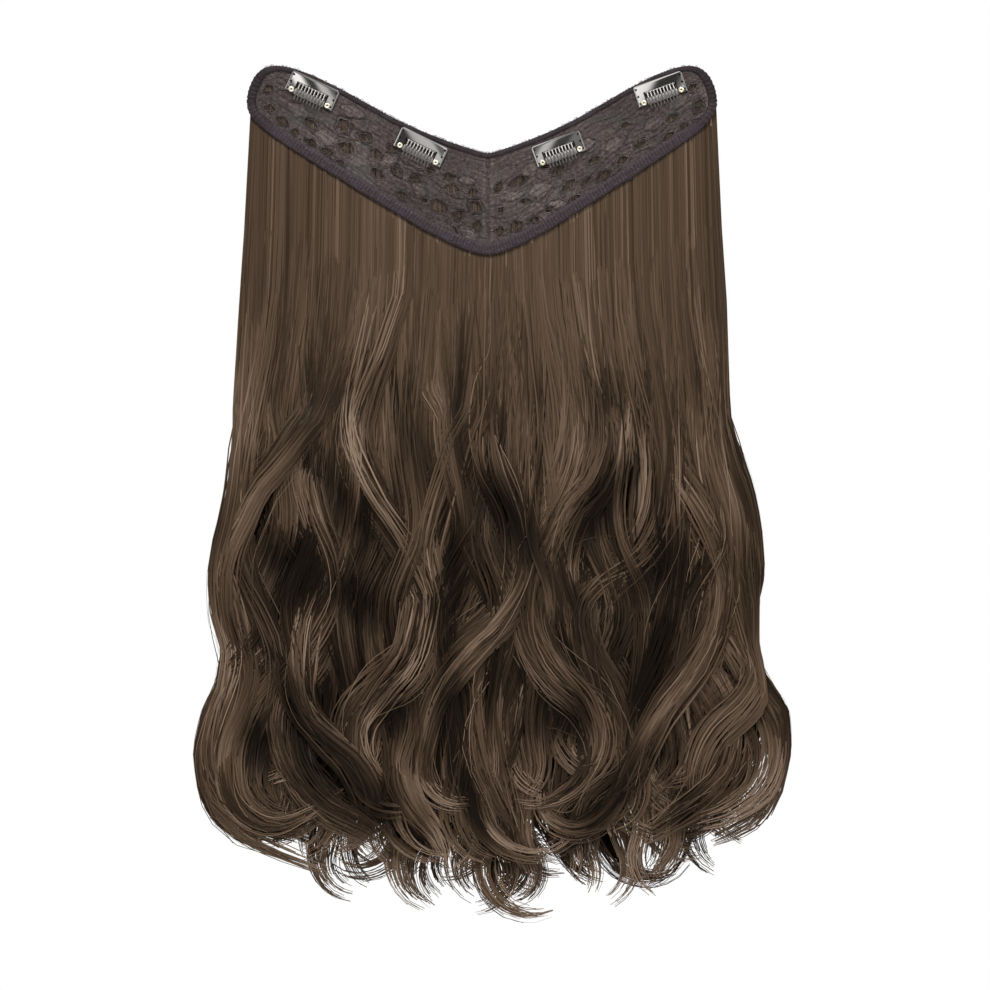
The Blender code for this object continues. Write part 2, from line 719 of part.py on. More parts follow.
def hair_edge(lock, facing, z):
    """How far across the backing reaches inside an outer lock at height z."""
    points = lock_points(lock, facing)
    outward = math.copysign(BACKING_REACH, points[0].x)
    for upper, lower in zip(points, points[1:]):
        if z >= lower.y:
            share = (upper.y - z) / (upper.y - lower.y)
            return lerp(upper.x, lower.x, max(share, 0.0)) + outward
    return points[-1].x + outward


def build_backing(layer):
    """The weft curtain that a layer's locks are sewn to, from the band's top edge down."""
    facing = LAYERS[layer][-1]
    outer_locks = sorted((LOCKS[0], LOCKS[-1]), key=lambda lock: facing * lock[0])
    builder = bmesh.new()
    columns = []
    for i in range(BACKING_COLUMNS + 1):
        place = 2 * i / BACKING_COLUMNS - 1
        side = -1 if place < 0 else 1
        share = abs(place) * (1 - WEFT_INSET / reach_of(side))
        top_x = side * reach_of(side) * share
        top_z = top_height(share) - WEFT_INSET
        column = []
        for row in range(BACKING_ROWS + 1):
            z = lerp(-SWELL_START_DROP, -BACKING_DROP, row / BACKING_ROWS)
            left, right = (hair_edge(lock, facing, z) for lock in outer_locks)
            column.append((lerp(left, right, i / BACKING_COLUMNS), z))
        columns.append([(top_x, top_z), *column])
    thick_sheet(builder, columns,
                lambda z: layer_depth(layer, z) - backing_half_depth(z),
                lambda z: layer_depth(layer, z) + backing_half_depth(z))
    return builder


def build_hair(parts, cutters, material):
    for layer, (name, _, _, step, _) in enumerate(LAYERS):
        hair = piece_from(build_backing(layer), name, parts, material)
        for number, lock in enumerate(LOCKS[::step]):
            label = f"{name}_lock_{number + 1}"
            strand = cutter_from(build_lock(layer, number, lock), label, cutters)
            add_boolean(hair, strand, "UNION", "MANIFOLD")


def main():
    for leftover in list(bpy.data.objects):
        bpy.data.objects.remove(leftover)
    parts = new_collection("hair_extension")
    cutters = new_collection("cutters")
    lace = new_material("lace", (0.075, 0.062, 0.066), 0.85)
    tape = new_material("tape", (0.065, 0.052, 0.060), 0.80)
    brown = new_material("brown_hair", (0.095, 0.062, 0.038), 0.45)
    steel = new_material("polished_steel", (0.62, 0.61, 0.62), 0.18, 1.0)
    sleeve_grey = new_material("sleeve_grey", (0.30, 0.29, 0.29), 0.35)
    eyelet_metal = new_material("pale_brass", (0.85, 0.80, 0.62), 0.30, 1.0)
    build_lining(parts, cutters, lace)
    build_binding(parts, tape)
    build_clips(parts, cutters, (steel, sleeve_grey, eyelet_metal))
    build_hair(parts, cutters, brown)


main()
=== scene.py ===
import json
import math

import bpy
import numpy as np
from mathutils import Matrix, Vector

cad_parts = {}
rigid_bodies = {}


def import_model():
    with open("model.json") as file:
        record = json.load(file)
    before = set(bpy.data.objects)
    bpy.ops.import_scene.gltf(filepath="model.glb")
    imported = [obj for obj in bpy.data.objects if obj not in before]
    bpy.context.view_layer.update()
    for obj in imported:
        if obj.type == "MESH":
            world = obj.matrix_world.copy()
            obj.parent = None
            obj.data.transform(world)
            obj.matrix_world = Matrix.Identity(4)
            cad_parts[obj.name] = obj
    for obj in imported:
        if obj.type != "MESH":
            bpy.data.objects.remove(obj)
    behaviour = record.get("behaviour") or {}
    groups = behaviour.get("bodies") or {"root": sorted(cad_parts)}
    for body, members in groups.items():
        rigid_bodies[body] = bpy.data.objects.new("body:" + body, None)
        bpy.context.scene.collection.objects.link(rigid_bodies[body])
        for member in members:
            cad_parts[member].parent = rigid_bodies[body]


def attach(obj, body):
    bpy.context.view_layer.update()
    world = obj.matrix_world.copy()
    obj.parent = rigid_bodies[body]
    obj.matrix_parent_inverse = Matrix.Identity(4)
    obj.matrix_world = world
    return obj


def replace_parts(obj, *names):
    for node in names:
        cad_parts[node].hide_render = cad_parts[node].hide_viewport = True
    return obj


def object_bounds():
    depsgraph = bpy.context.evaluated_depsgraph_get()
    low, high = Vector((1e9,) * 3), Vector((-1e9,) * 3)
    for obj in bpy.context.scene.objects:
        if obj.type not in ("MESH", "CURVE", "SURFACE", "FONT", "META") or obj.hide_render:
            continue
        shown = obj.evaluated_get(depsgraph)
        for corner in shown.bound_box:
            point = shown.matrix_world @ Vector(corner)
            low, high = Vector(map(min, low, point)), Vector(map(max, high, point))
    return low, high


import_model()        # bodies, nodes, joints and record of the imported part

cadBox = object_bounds()
mm = 0.001

# Stage: a pale floor, a white surround and soft lamps
stage = {
    "pictureSpan": 620.7 * mm,                 # what the picture takes in at the part
    "pictureMiddle": (4.4 * mm, -183.1 * mm),
    "cameraDistance": 3.0,
    "sensorWidth": 36.0,
    "floorDrop": 0.15,                         # below the longest lock
    "floorRadius": 0.95,
    "surround": 0.30,
    "reflections": (                           # what lies behind the camera, from left to right: place, strength
        (-0.500, 0.30), (-0.240, 0.60), (-0.206, 0.95), (-0.180, 0.80), (-0.169, 0.03), (-0.124, 0.03),
        (-0.118, 0.12), (-0.108, 0.14), (-0.103, 0.60), (-0.088, 0.50), (-0.078, 0.05), (-0.052, 0.04),
        (-0.044, 0.18), (-0.013, 0.12), (0.000, 0.05), (0.040, 0.03), (0.052, 0.42), (0.092, 0.52), (0.099, 0.10),
        (0.116, 0.08), (0.122, 1.05), (0.142, 1.05), (0.150, 0.03), (0.169, 0.03), (0.175, 0.55), (0.192, 0.45),
        (0.200, 0.08), (0.300, 0.30),
    ),
    "lamps": {                                 # place, size and power
        "keyLamp": ((-0.30, -1.45, 1.55), 0.8, 40.0),
        "fillLamp": ((0.95, -1.8, 1.00), 0.5, 12.0),
        "crownLamp": ((0.0, 0.9, 1.6), 0.5, 18.0),
        "leftRim": ((-1.5, 0.7, 1.0), 0.9, 16.0),
        "rightRim": ((1.5, 0.7, 1.0), 0.9, 16.0),
        "backLamp": ((0.4, 2.3, 0.2), 1.3, 16.0),
    },
}


def linkObject(thing):
    bpy.context.scene.collection.objects.link(thing)
    return thing


def newMesh(name, points, faces, material, smooth=True):
    mesh = bpy.data.meshes.new(name)
    mesh.from_pydata(points, [], faces)
    mesh.materials.append(material)
    if smooth:
        mesh.shade_smooth()
    return linkObject(bpy.data.objects.new(name, mesh))


def newMaterial(name, roughness, metallic=0.0):
    material = bpy.data.materials.new(name)
    material.use_nodes = True
    shader = material.node_tree.nodes["Principled BSDF"]
    shader.inputs["Roughness"].default_value = roughness
    shader.inputs["Metallic"].default_value = metallic
    return material, material.node_tree, shader


def addRamp(tree, stops):
    ramp = tree.nodes.new("ShaderNodeValToRGB")
    while len(ramp.color_ramp.elements) < len(stops):
        ramp.color_ramp.elements.new(0.5)
    for element, (place, colour) in zip(ramp.color_ramp.elements, stops):
        element.position = place
        element.color = (*colour, 1.0)
    return ramp


def buildStage():
    floorMaterial, tree, shader = newMaterial("paleFloor", 0.8)
    shader.inputs["Base Color"].default_value = (0.86, 0.86, 0.86, 1.0)
    low = cadBox[0].z - stage["floorDrop"]
    turns = [2 * math.pi * k / 96 for k in range(96)]
    rim = [(stage["floorRadius"] * math.cos(a), stage["floorRadius"] * math.sin(a), low) for a in turns]
    floor = newMesh("floor", rim, [list(range(96))], floorMaterial, smooth=False)
    world = bpy.data.worlds.new("surround")
    bpy.context.scene.world = world
    world.use_nodes = True
    nodes, links = world.node_tree.nodes, world.node_tree.links
    backdrop = nodes["Background"]
    backdrop.inputs["Color"].default_value = (1.0, 1.0, 1.0, 1.0)
    backdrop.inputs["Strength"].default_value = 1.0
    soft = nodes.new("ShaderNodeBackground")
    soft.inputs["Color"].default_value = (1.0, 0.99, 0.98, 1.0)
    direction = nodes.new("ShaderNodeTexCoord")
    parts = nodes.new("ShaderNodeSeparateXYZ")
    links.new(direction.outputs["Generated"], parts.inputs[0])
    shift = nodes.new("ShaderNodeMath")
    shift.operation = "ADD"
    shift.inputs[1].default_value = 0.5
    links.new(parts.outputs["X"], shift.inputs[0])
    pattern = addRamp(world.node_tree, [(x + 0.5, (v / 2, v / 2, v / 2)) for x, v in stage["reflections"]])
    links.new(shift.outputs[0], pattern.inputs["Fac"])
    facing = nodes.new("ShaderNodeMapRange")               # the pattern lies in a cone behind the camera
    facing.inputs["From Min"].default_value = -0.80
    facing.inputs["From Max"].default_value = -0.92
    links.new(parts.outputs["Y"], facing.inputs["Value"])
    strength = nodes.new("ShaderNodeMix")
    strength.inputs["A"].default_value = stage["surround"] / 2
    links.new(facing.outputs["Result"], strength.inputs["Factor"])
    links.new(pattern.outputs["Color"], strength.inputs["B"])
    double = nodes.new("ShaderNodeMath")
    double.operation = "MULTIPLY"
    double.inputs[1].default_value = 2.0
    links.new(strength.outputs["Result"], double.inputs[0])
    links.new(double.outputs[0], soft.inputs["Strength"])
    rays = nodes.new("ShaderNodeLightPath")
    mix = nodes.new("ShaderNodeMixShader")
    links.new(rays.outputs["Is Camera Ray"], mix.inputs[0])
    links.new(soft.outputs[0], mix.inputs[1])
    links.new(backdrop.outputs[0], mix.inputs[2])
    links.new(mix.outputs[0], nodes["World Output"].inputs["Surface"])
    middleX, middleZ = stage["pictureMiddle"]
    target = Vector((middleX, 0.0, middleZ))
    for name, (place, size, power) in stage["lamps"].items():
        lamp = bpy.data.lights.new(name, "AREA")
        lamp.shape = "DISK"
        lamp.size = size
        lamp.energy = power
        holder = linkObject(bpy.data.objects.new(name, lamp))
        holder.location = place
        holder.rotation_euler = (target - Vector(place)).to_track_quat("-Z", "Y").to_euler()
    camera = bpy.data.cameras.new("camera")
    camera.sensor_width = stage["sensorWidth"]
    camera.lens = stage["sensorWidth"] * stage["cameraDistance"] / stage["pictureSpan"]
    camera.clip_start, camera.clip_end = 0.1, 50.0
    holder = linkObject(bpy.data.objects.new("camera", camera))
    holder.location = (middleX, -stage["cameraDistance"], middleZ)
    holder.rotation_euler = (math.radians(90), 0.0, 0.0)
    bpy.context.scene.camera = holder
    bpy.context.scene.view_settings.view_transform = "Standard"


# Band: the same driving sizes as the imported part
band = {
    "leftReach": 151.1 * mm,
    "rightReach": 143.6 * mm,
    "notchHeight": 30.7 * mm,
    "tipDrop": 33.1 * mm,
    "armRise": 55.3 * mm,
    "bow": 10.0 * mm,
    "armSections": (               # along the arm, top edge's and bottom edge's share of their rise
        (0.000, 0.000, 0.000),
        (0.060, 0.050, 0.018),
        (0.150, 0.130, 0.075),
        (0.270, 0.255, 0.172),
        (0.390, 0.405, 0.288),
        (0.500, 0.570, 0.390),
        (0.610, 0.735, 0.500),
        (0.720, 0.880, 0.608),
        (0.800, 0.960, 0.688),
        (0.875, 1.000, 0.765),
        (0.930, 0.968, 0.832),
        (0.970, 0.860, 0.893),
        (0.992, 0.710, 0.945),
        (1.000, 0.555, 1.000),
    ),
}
armTable = np.array(band["armSections"])


def bowAt(x):
    return -band["bow"] * (x / band["leftReach"]) ** 2


def alongArm(x):
    reach = np.where(x < 0, band["leftReach"], band["rightReach"])
    return np.clip(np.abs(x) / reach, 0, 1)


def topHeight(x):
    return band["notchHeight"] + band["armRise"] * np.interp(alongArm(x), armTable[:, 0], armTable[:, 1])


def bottomHeight(x):
    rise = band["tipDrop"] + band["notchHeight"] + band["armRise"] * armTable[-1, 1]
    return rise * np.interp(alongArm(x), armTable[:, 0], armTable[:, 2]) - band["tipDrop"]


# Hair: how the two layers hang, as (drop, head side, far side) of all the hair at the middle
hair = {
    "seed": 11,
    "strandWidth": 0.88 * mm,
    "edges": (                      # drop, left and right edge of the hair where it hangs straight
        (-0.100, -0.146, 0.141),
        (0.000, -0.151, 0.145),
        (0.060, -0.155, 0.149),
        (0.130, -0.159, 0.151),
        (0.155, -0.159, 0.154),
        (0.180, -0.161, 0.162),
        (0.205, -0.164, 0.168),
        (0.230, -0.171, 0.172),
        (0.255, -0.172, 0.168),
        (0.280, -0.165, 0.165),
        (0.305, -0.167, 0.173),
        (0.320, -0.175, 0.186),
        (0.343, -0.181, 0.186),
        (0.368, -0.178, 0.178),
        (0.393, -0.166, 0.166),
        (0.450, -0.150, 0.150),
    ),
    "depths": (
        (-0.090, 0.0030, 0.0090),
        (0.036, 0.0030, 0.0090),
        (0.090, 0.0000, 0.0130),
        (0.155, -0.0025, 0.0180),
        (0.220, -0.0055, 0.0215),
        (0.290, -0.0080, 0.0235),
        (0.360, -0.0110, 0.0230),
        (0.420, -0.0115, 0.0190),
        (0.445, -0.0100, 0.0150),
    ),
    "tones": (                      # dark end for strands in painted shade, light end for light strands, in linear colour
        (0.00, (0.0026, 0.0014, 0.0007)),
        (0.35, (0.0290, 0.0172, 0.0098)),
        (0.70, (0.0980, 0.0640, 0.0415)),
        (1.00, (0.2350, 0.1660, 0.1180)),
    ),
    # near-black colour of the lock cores: painted shade inside the hair
    "shade": (0.0040, 0.0023, 0.0013),
    "hollows": (                    # recesses set back and darkened with painted shade: across, drop, half width, half length in mm, lean in degrees, depth
        (-91, 183, 9, 34, 32, 1.0), (11, 193, 9, 31, 31, 1.0), (68, 193, 9, 31, -34, 1.0),
        (-126, 226, 12, 21, 35, 1.0), (111, 228, 13, 19, -20, 1.0), (-83, 248, 11, 23, 50, 0.8),
        (-24, 246, 7, 36, -5, 0.8), (56, 254, 6, 28, 0, 0.5), (102, 290, 9, 43, -22, 0.9),
        (52, 319, 13, 16, 10, 1.0), (-22, 312, 9, 20, 0, 0.9), (-15, 362, 6, 32, 20, 0.9),
        (-122, 318, 7, 40, 15, 0.8), (-99, 315, 10, 20, 0, 0.7), (-144, 334, 10, 17, 0, 0.9),
        (-60, 311, 10, 20, 0, 0.8), (-93, 358, 9, 32, 45, 0.9), (-65, 377, 13, 13, 0, 0.6),
        (79, 365, 10, 40, -40, 0.9), (123, 378, 9, 14, 0, 0.6), (-42, 389, 8, 12, 0, 0.5),
        (-89, 119, 20, 14, 0, 0.3), (80, 119, 20, 14, 0, 0.3), (-125, 12, 1.3, 18, 0, 0.4),
        (-58, 120, 2, 22, 8, 0.5), (-17, 112, 2, 20, -6, 0.5), (32, 118, 2, 22, 10, 0.5), (98, 125, 2.2, 24, -8, 0.5),
        (-110, 118, 2.2, 20, 6, 0.4), (131, 110, 2, 20, 0, 0.4), (60, 100, 1.6, 18, 5, 0.3), (-35, 90, 1.5, 18, 0, 0.3),
    ),
}
depthTable = np.array(hair["depths"])
edgeTable = np.array(hair["edges"])


def hollowAt(x, drop):
    total = np.zeros(np.shape(x))
    for middleX, middleDrop, halfWidth, halfLength, lean, depth in hair["hollows"]:
        angle = math.radians(lean)
        aside, down = x / mm - middleX, drop / mm - middleDrop
        along = down * math.cos(angle) + aside * math.sin(angle)
        across = aside * math.cos(angle) - down * math.sin(angle)
        total = total + depth * np.exp(-(along / halfLength) ** 2 - (across / halfWidth) ** 2)
    return np.clip(total, 0, 1)

# Locks seen on the head side: half width, how far each stands forward, twist in turns, tone and
# the way it runs, in millimetres across and down
frontLocks = {
    "outerLeft": (9, 2, 0.5, 0.50, [(-155, 29), (-155, 80), (-154, 136), (-150, 166), (-158, 189), (-167, 218),
        (-167, 240), (-158, 269), (-162, 296), (-176, 327), (-179, 350), (-173, 371), (-155, 390), (-127, 404),
        (-96, 417)]),
    "leftEdgeBend": (10, 5, -0.5, 0.55, [(-145, 23), (-148, 86), (-153, 127), (-157, 152), (-162, 186), (-172, 214),
        (-172, 231), (-164, 261), (-161, 287), (-172, 319), (-177, 349), (-166, 374), (-142, 388)]),
    "leftCrossing": (9, 8, 0.6, 0.60, [(-90, 61), (-107, 127), (-118, 145), (-130, 164), (-142, 180), (-150, 199),
        (-158, 218), (-161, 240), (-157, 265), (-149, 290), (-152, 312), (-161, 340), (-158, 368), (-142, 387),
        (-118, 397)]),
    "leftStraight": (10, 4, -0.4, 0.50, [(-129, 36), (-135, 98), (-139, 130), (-137, 149), (-143, 171), (-151, 189),
        (-158, 208), (-155, 233), (-145, 258), (-137, 283), (-142, 312), (-152, 337), (-153, 365), (-138, 382),
        (-114, 388)]),
    "leftInner": (13, 5, 0.5, 0.50, [(-104, 55), (-110, 124), (-115, 158), (-117, 174), (-110, 198), (-98, 224),
        (-93, 252), (-102, 280), (-118, 305), (-124, 327), (-118, 352), (-102, 374), (-79, 388), (-58, 403)]),
    "bigLeft": (14, 8, -0.6, 0.60, [(-63, 55), (-73, 92), (-82, 119), (-87, 141), (-85, 162), (-74, 187),
        (-54, 214), (-41, 243), (-41, 256), (-51, 284), (-70, 303), (-85, 323), (-85, 346), (-73, 365),
        (-56, 378), (-43, 397)]),
    "leftMiddle": (11, 5, 0.5, 0.50, [(-38, 67), (-39, 114), (-33, 131), (-31, 147), (-36, 180), (-40, 211),
        (-34, 243), (-33, 274), (-40, 305), (-50, 330), (-54, 356), (-46, 377), (-30, 397), (-23, 419)]),
    "centreLeft": (12, 6, -0.5, 0.60, [(-1, 67), (-4, 124), (-14, 147), (-24, 174), (-32, 194), (-39, 216),
        (-40, 243), (-30, 274), (-16, 305), (-18, 334), (-23, 359), (-16, 382), (-1, 401)]),
    "centre": (11, 7, 0.5, 0.50, [(9, 55), (7, 92), (-3, 114), (-4, 142), (1, 169), (13, 199), (18, 230),
        (13, 261), (0, 290), (-4, 319), (1, 349), (11, 374), (20, 394)]),
    "centreLow": (12, 4, -0.4, 0.50, [(-6, 61), (1, 142), (4, 196), (-8, 221), (-21, 244), (-29, 265),
        (-33, 287), (-26, 312), (-16, 334), (-10, 359), (-1, 382), (8, 406)]),
    "centreCross": (10, 8, 0.6, 0.55, [(20, 61), (23, 155), (24, 211), (20, 240), (8, 263), (-11, 283),
        (-26, 305), (-35, 330), (-40, 356), (-33, 378), (-16, 396)]),
    "rightBig": (14, 9, 0.6, 0.65, [(46, 61), (55, 124), (56, 152), (50, 179), (38, 205), (30, 230), (27, 249),
        (31, 271), (45, 292), (64, 309), (75, 330), (73, 350), (60, 363), (43, 376), (36, 392)]),
    "rightNext": (12, 6, -0.5, 0.55, [(64, 61), (70, 111), (79, 135), (80, 155), (70, 179), (56, 194), (46, 218),
        (45, 240), (55, 265), (74, 287), (92, 312), (95, 337), (84, 359), (65, 374), (56, 394)]),
    "rightInner": (13, 7, 0.5, 0.60, [(95, 67), (103, 136), (108, 171), (105, 199), (93, 221), (70, 238),
        (60, 256), (65, 279), (78, 303), (84, 329), (78, 357), (64, 374), (58, 391)]),
    "rightCrossing": (11, 9, -0.6, 0.60, [(84, 61), (90, 114), (103, 141), (119, 167), (135, 196), (145, 221),
        (147, 243), (139, 271), (124, 296), (107, 319), (95, 340), (84, 362), (74, 378), (78, 397)]),
    "rightStraight": (11, 5, 0.4, 0.55, [(127, 48), (129, 124), (133, 155), (143, 186), (147, 214), (135, 240),
        (127, 261), (132, 283), (147, 305), (155, 330), (150, 356), (133, 374), (113, 388), (95, 398)]),
    "outerRight": (9, 2, -0.5, 0.50, [(147, 17), (149, 92), (151, 130), (157, 161), (166, 194), (165, 224),
        (159, 250), (159, 271), (169, 298), (181, 321), (184, 342), (181, 365), (163, 384), (137, 398)]),
    "farRightCurl": (12, 3, -0.5, 0.60, [(138, 61), (145, 149), (151, 199), (150, 236), (149, 264), (157, 294),
        (170, 318), (175, 342), (167, 363), (148, 378), (128, 385)]),
    "rightCurl": (11, 6, 0.5, 0.55, [(137, 61), (142, 149), (155, 199), (158, 236), (166, 268), (172, 292),
        (163, 313), (143, 332), (133, 352), (132, 372), (144, 388), (159, 398)]),
    "lowLeftCurl": (11, 7, 0.6, 0.60, [(-99, 73), (-102, 167), (-107, 224), (-115, 255), (-132, 283),
        (-144, 299), (-155, 319), (-161, 344), (-155, 372), (-135, 386), (-112, 379), (-99, 368)]),
    "lowLeftTurn": (11, 8, -0.5, 0.60, [(-80, 73), (-87, 167), (-99, 224), (-118, 261), (-124, 294), (-118, 319),
        (-102, 338), (-87, 352), (-76, 374), (-83, 394), (-99, 403)]),
    "lowRightCurl": (11, 6, 0.5, 0.60, [(113, 73), (118, 161), (123, 224), (115, 274), (102, 305), (93, 330),
        (95, 356), (109, 372), (127, 378), (135, 387)]),
    "eyeLoop": (10, 8, -0.5, 0.60, [(36, 73), (39, 174), (45, 236), (60, 287), (78, 324), (82, 356), (71, 378),
        (54, 388), (38, 382), (34, 368)]),
}


def smoothCurve(points, count):
    """placeholder"""
    points = np.asarray(points, float)
    padded = np.vstack([2 * points[0] - points[1], points, 2 * points[-1] - points[-2]])
    spans = len(points) - 1
    place = np.linspace(0, spans, spans * 12 + 1)
    k = np.minimum(place.astype(int), spans - 1)
    t = (place - k)[:, None]
    before, start, end, after = padded[k], padded[k + 1], padded[k + 2], padded[k + 3]
    line = 0.5 * (2 * start + (end - before) * t + (2 * before - 5 * start + 4 * end - after) * t ** 2
                  + (3 * start - before - 3 * end + after) * t ** 3)
    walked = np.concatenate([[0], np.cumsum(np.linalg.norm(np.diff(line, axis=0), axis=1))])
    even = np.linspace(0, walked[-1], count)
    return np.stack([np.interp(even, walked, line[:, c]) for c in range(line.shape[1])], axis=1), walked[-1]


def unit(vectors):
    return vectors / np.maximum(np.linalg.norm(vectors, axis=-1, keepdims=True), 1e-12)


def hairMaterial():
    material, tree, shader = newMaterial("brownHair", 0.46)
    nodes, links = tree.nodes, tree.links
    tone = nodes.new("ShaderNodeAttribute")
    tone.attribute_name = "tone"
    ramp = addRamp(tree, hair["tones"])
    links.new(tone.outputs["Fac"], ramp.inputs["Fac"])
    links.new(ramp.outputs["Color"], shader.inputs["Base Color"])
    shader.inputs["Specular IOR Level"].default_value = 0.16
    shader.inputs["Specular Tint"].default_value = (1.0, 0.80, 0.62, 1.0)
    return material


# the cores' near-black material: painted shade for the inside of the locks
def shadeMaterial():
    material, tree, shader = newMaterial("hairShade", 1.0)
    nodes, links = tree.nodes, tree.links
    place = nodes.new("ShaderNodeTexCoord")
    streak = nodes.new("ShaderNodeTexNoise")
    streak.inputs["Scale"].default_value = 300.0
    links.new(place.outputs["Object"], streak.inputs["Vector"])
    ramp = addRamp(tree, ((0.3, [0.6 * c for c in hair["shade"]]), (0.7, [1.8 * c for c in hair["shade"]])))
    links.new(streak.outputs["Fac"], ramp.inputs["Fac"])
    links.new(ramp.outputs["Color"], shader.inputs["Base Color"])
    shader.inputs["Specular IOR Level"].default_value = 0.0
    return material


def ribbons(name, batches, material):
    """placeholder"""
    points, faces, tones, maps = [], [], [], []
    base = 0
    total = sum(len(b["path"]) for b in batches)
    column = 0
    for b in batches:
        path, normal, width, tone = b["path"], b["normal"], b["width"], b["tone"]
        count, rings = path.shape[:2]
        tangent = unit(np.gradient(path, axis=1))
        side = unit(np.cross(tangent, normal))
        left = path - side * width[..., None] / 2
        right = path + side * width[..., None] / 2
        points.append(np.stack([left, right], axis=2).reshape(-1, 3))
        index = base + np.arange(count * rings * 2).reshape(count, rings, 2)
        quads = np.stack([index[:, :-1, 0], index[:, :-1, 1], index[:, 1:, 1], index[:, 1:, 0]], axis=-1)
        faces.append(quads.reshape(-1, 4))
        tones.append(np.repeat(tone, 2, axis=1).reshape(-1))
        u = (column + np.arange(count)) / total
        along = np.linspace(1, 0, rings)
        lowU = np.broadcast_to(u[:, None], (count, rings))
        mapLeft = np.stack([lowU, np.broadcast_to(along, (count, rings))], axis=-1)
        mapRight = mapLeft + np.array([0.9 / total, 0.0])
        maps.append(np.stack([mapLeft, mapRight], axis=2).reshape(-1, 2))
        base += count * rings * 2
        column += count
    points, faces, tones, maps = (np.concatenate(x) for x in (points, faces, tones, maps))
    mesh = bpy.data.meshes.new(name)
    mesh.vertices.add(len(points))
    mesh.vertices.foreach_set("co", points.astype(np.float32).ravel())
    mesh.loops.add(faces.size)
    mesh.loops.foreach_set("vertex_index", faces.astype(np.int32).ravel())
    mesh.polygons.add(len(faces))
    mesh.polygons.foreach_set("loop_start", np.arange(0, faces.size, 4, dtype=np.int32))
    mesh.update(calc_edges=True)
    mesh.attributes.new("tone", "FLOAT", "POINT").data.foreach_set("value", tones.astype(np.float32))
    layer = mesh.uv_layers.new(name="OFBake")
    layer.data.foreach_set("uv", maps[faces.ravel()].astype(np.float32).ravel())
    mesh.materials.append(material)
    mesh.shade_smooth()
    piece = linkObject(bpy.data.objects.new(name, mesh))
    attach(piece, "band")
    return piece


def lockPath(points, forward, facing, rng, count=160, level=0.0):
    """placeholder"""
    flat = np.array([(x * mm, -drop * mm) for x, drop in points])
    flat[0, 1] = min(flat[0, 1], 0.0)
    rootX = flat[0, 0] * 0.985
    rootZ = float(bottomHeight(np.array(rootX))) + 8 * mm if facing < 0 else float(topHeight(np.array(rootX))) - 3 * mm
    middleZ = 0.5 * (rootZ + flat[0, 1])
    lead = [(rootX, rootZ), (0.5 * (rootX + flat[0, 0]), middleZ)]
    if flat[0, 1] > rootZ - 12 * mm:
        lead = [(rootX, rootZ)]
        flat = flat[1:]
    flat, length = smoothCurve(np.vstack([lead, flat]), count)
    x, z = flat[:, 0], flat[:, 1]
    drop = -z
    head = np.interp(drop, depthTable[:, 0], depthTable[:, 1])
    far = np.interp(drop, depthTable[:, 0], depthTable[:, 2])
    fromTop = np.clip((topHeight(x) - z) / 0.035, 0, 1)    # the back hair leaves the band's edge
    surface = head + level * (far - head) if facing < 0 else 0.0035 + (far - 0.0035) * fromTop * (2 - fromTop)
    grown = np.clip((drop - 0.05) / 0.12, 0, 1)
    slope = np.gradient(x, np.linspace(0, length, count))
    sway = 0.6 * forward * mm * grown * facing + slope * 4 * mm * grown * rng.choice((-1, 1))
    y = surface + sway + bowAt(x)
    return np.stack([x, y, z], axis=1), length
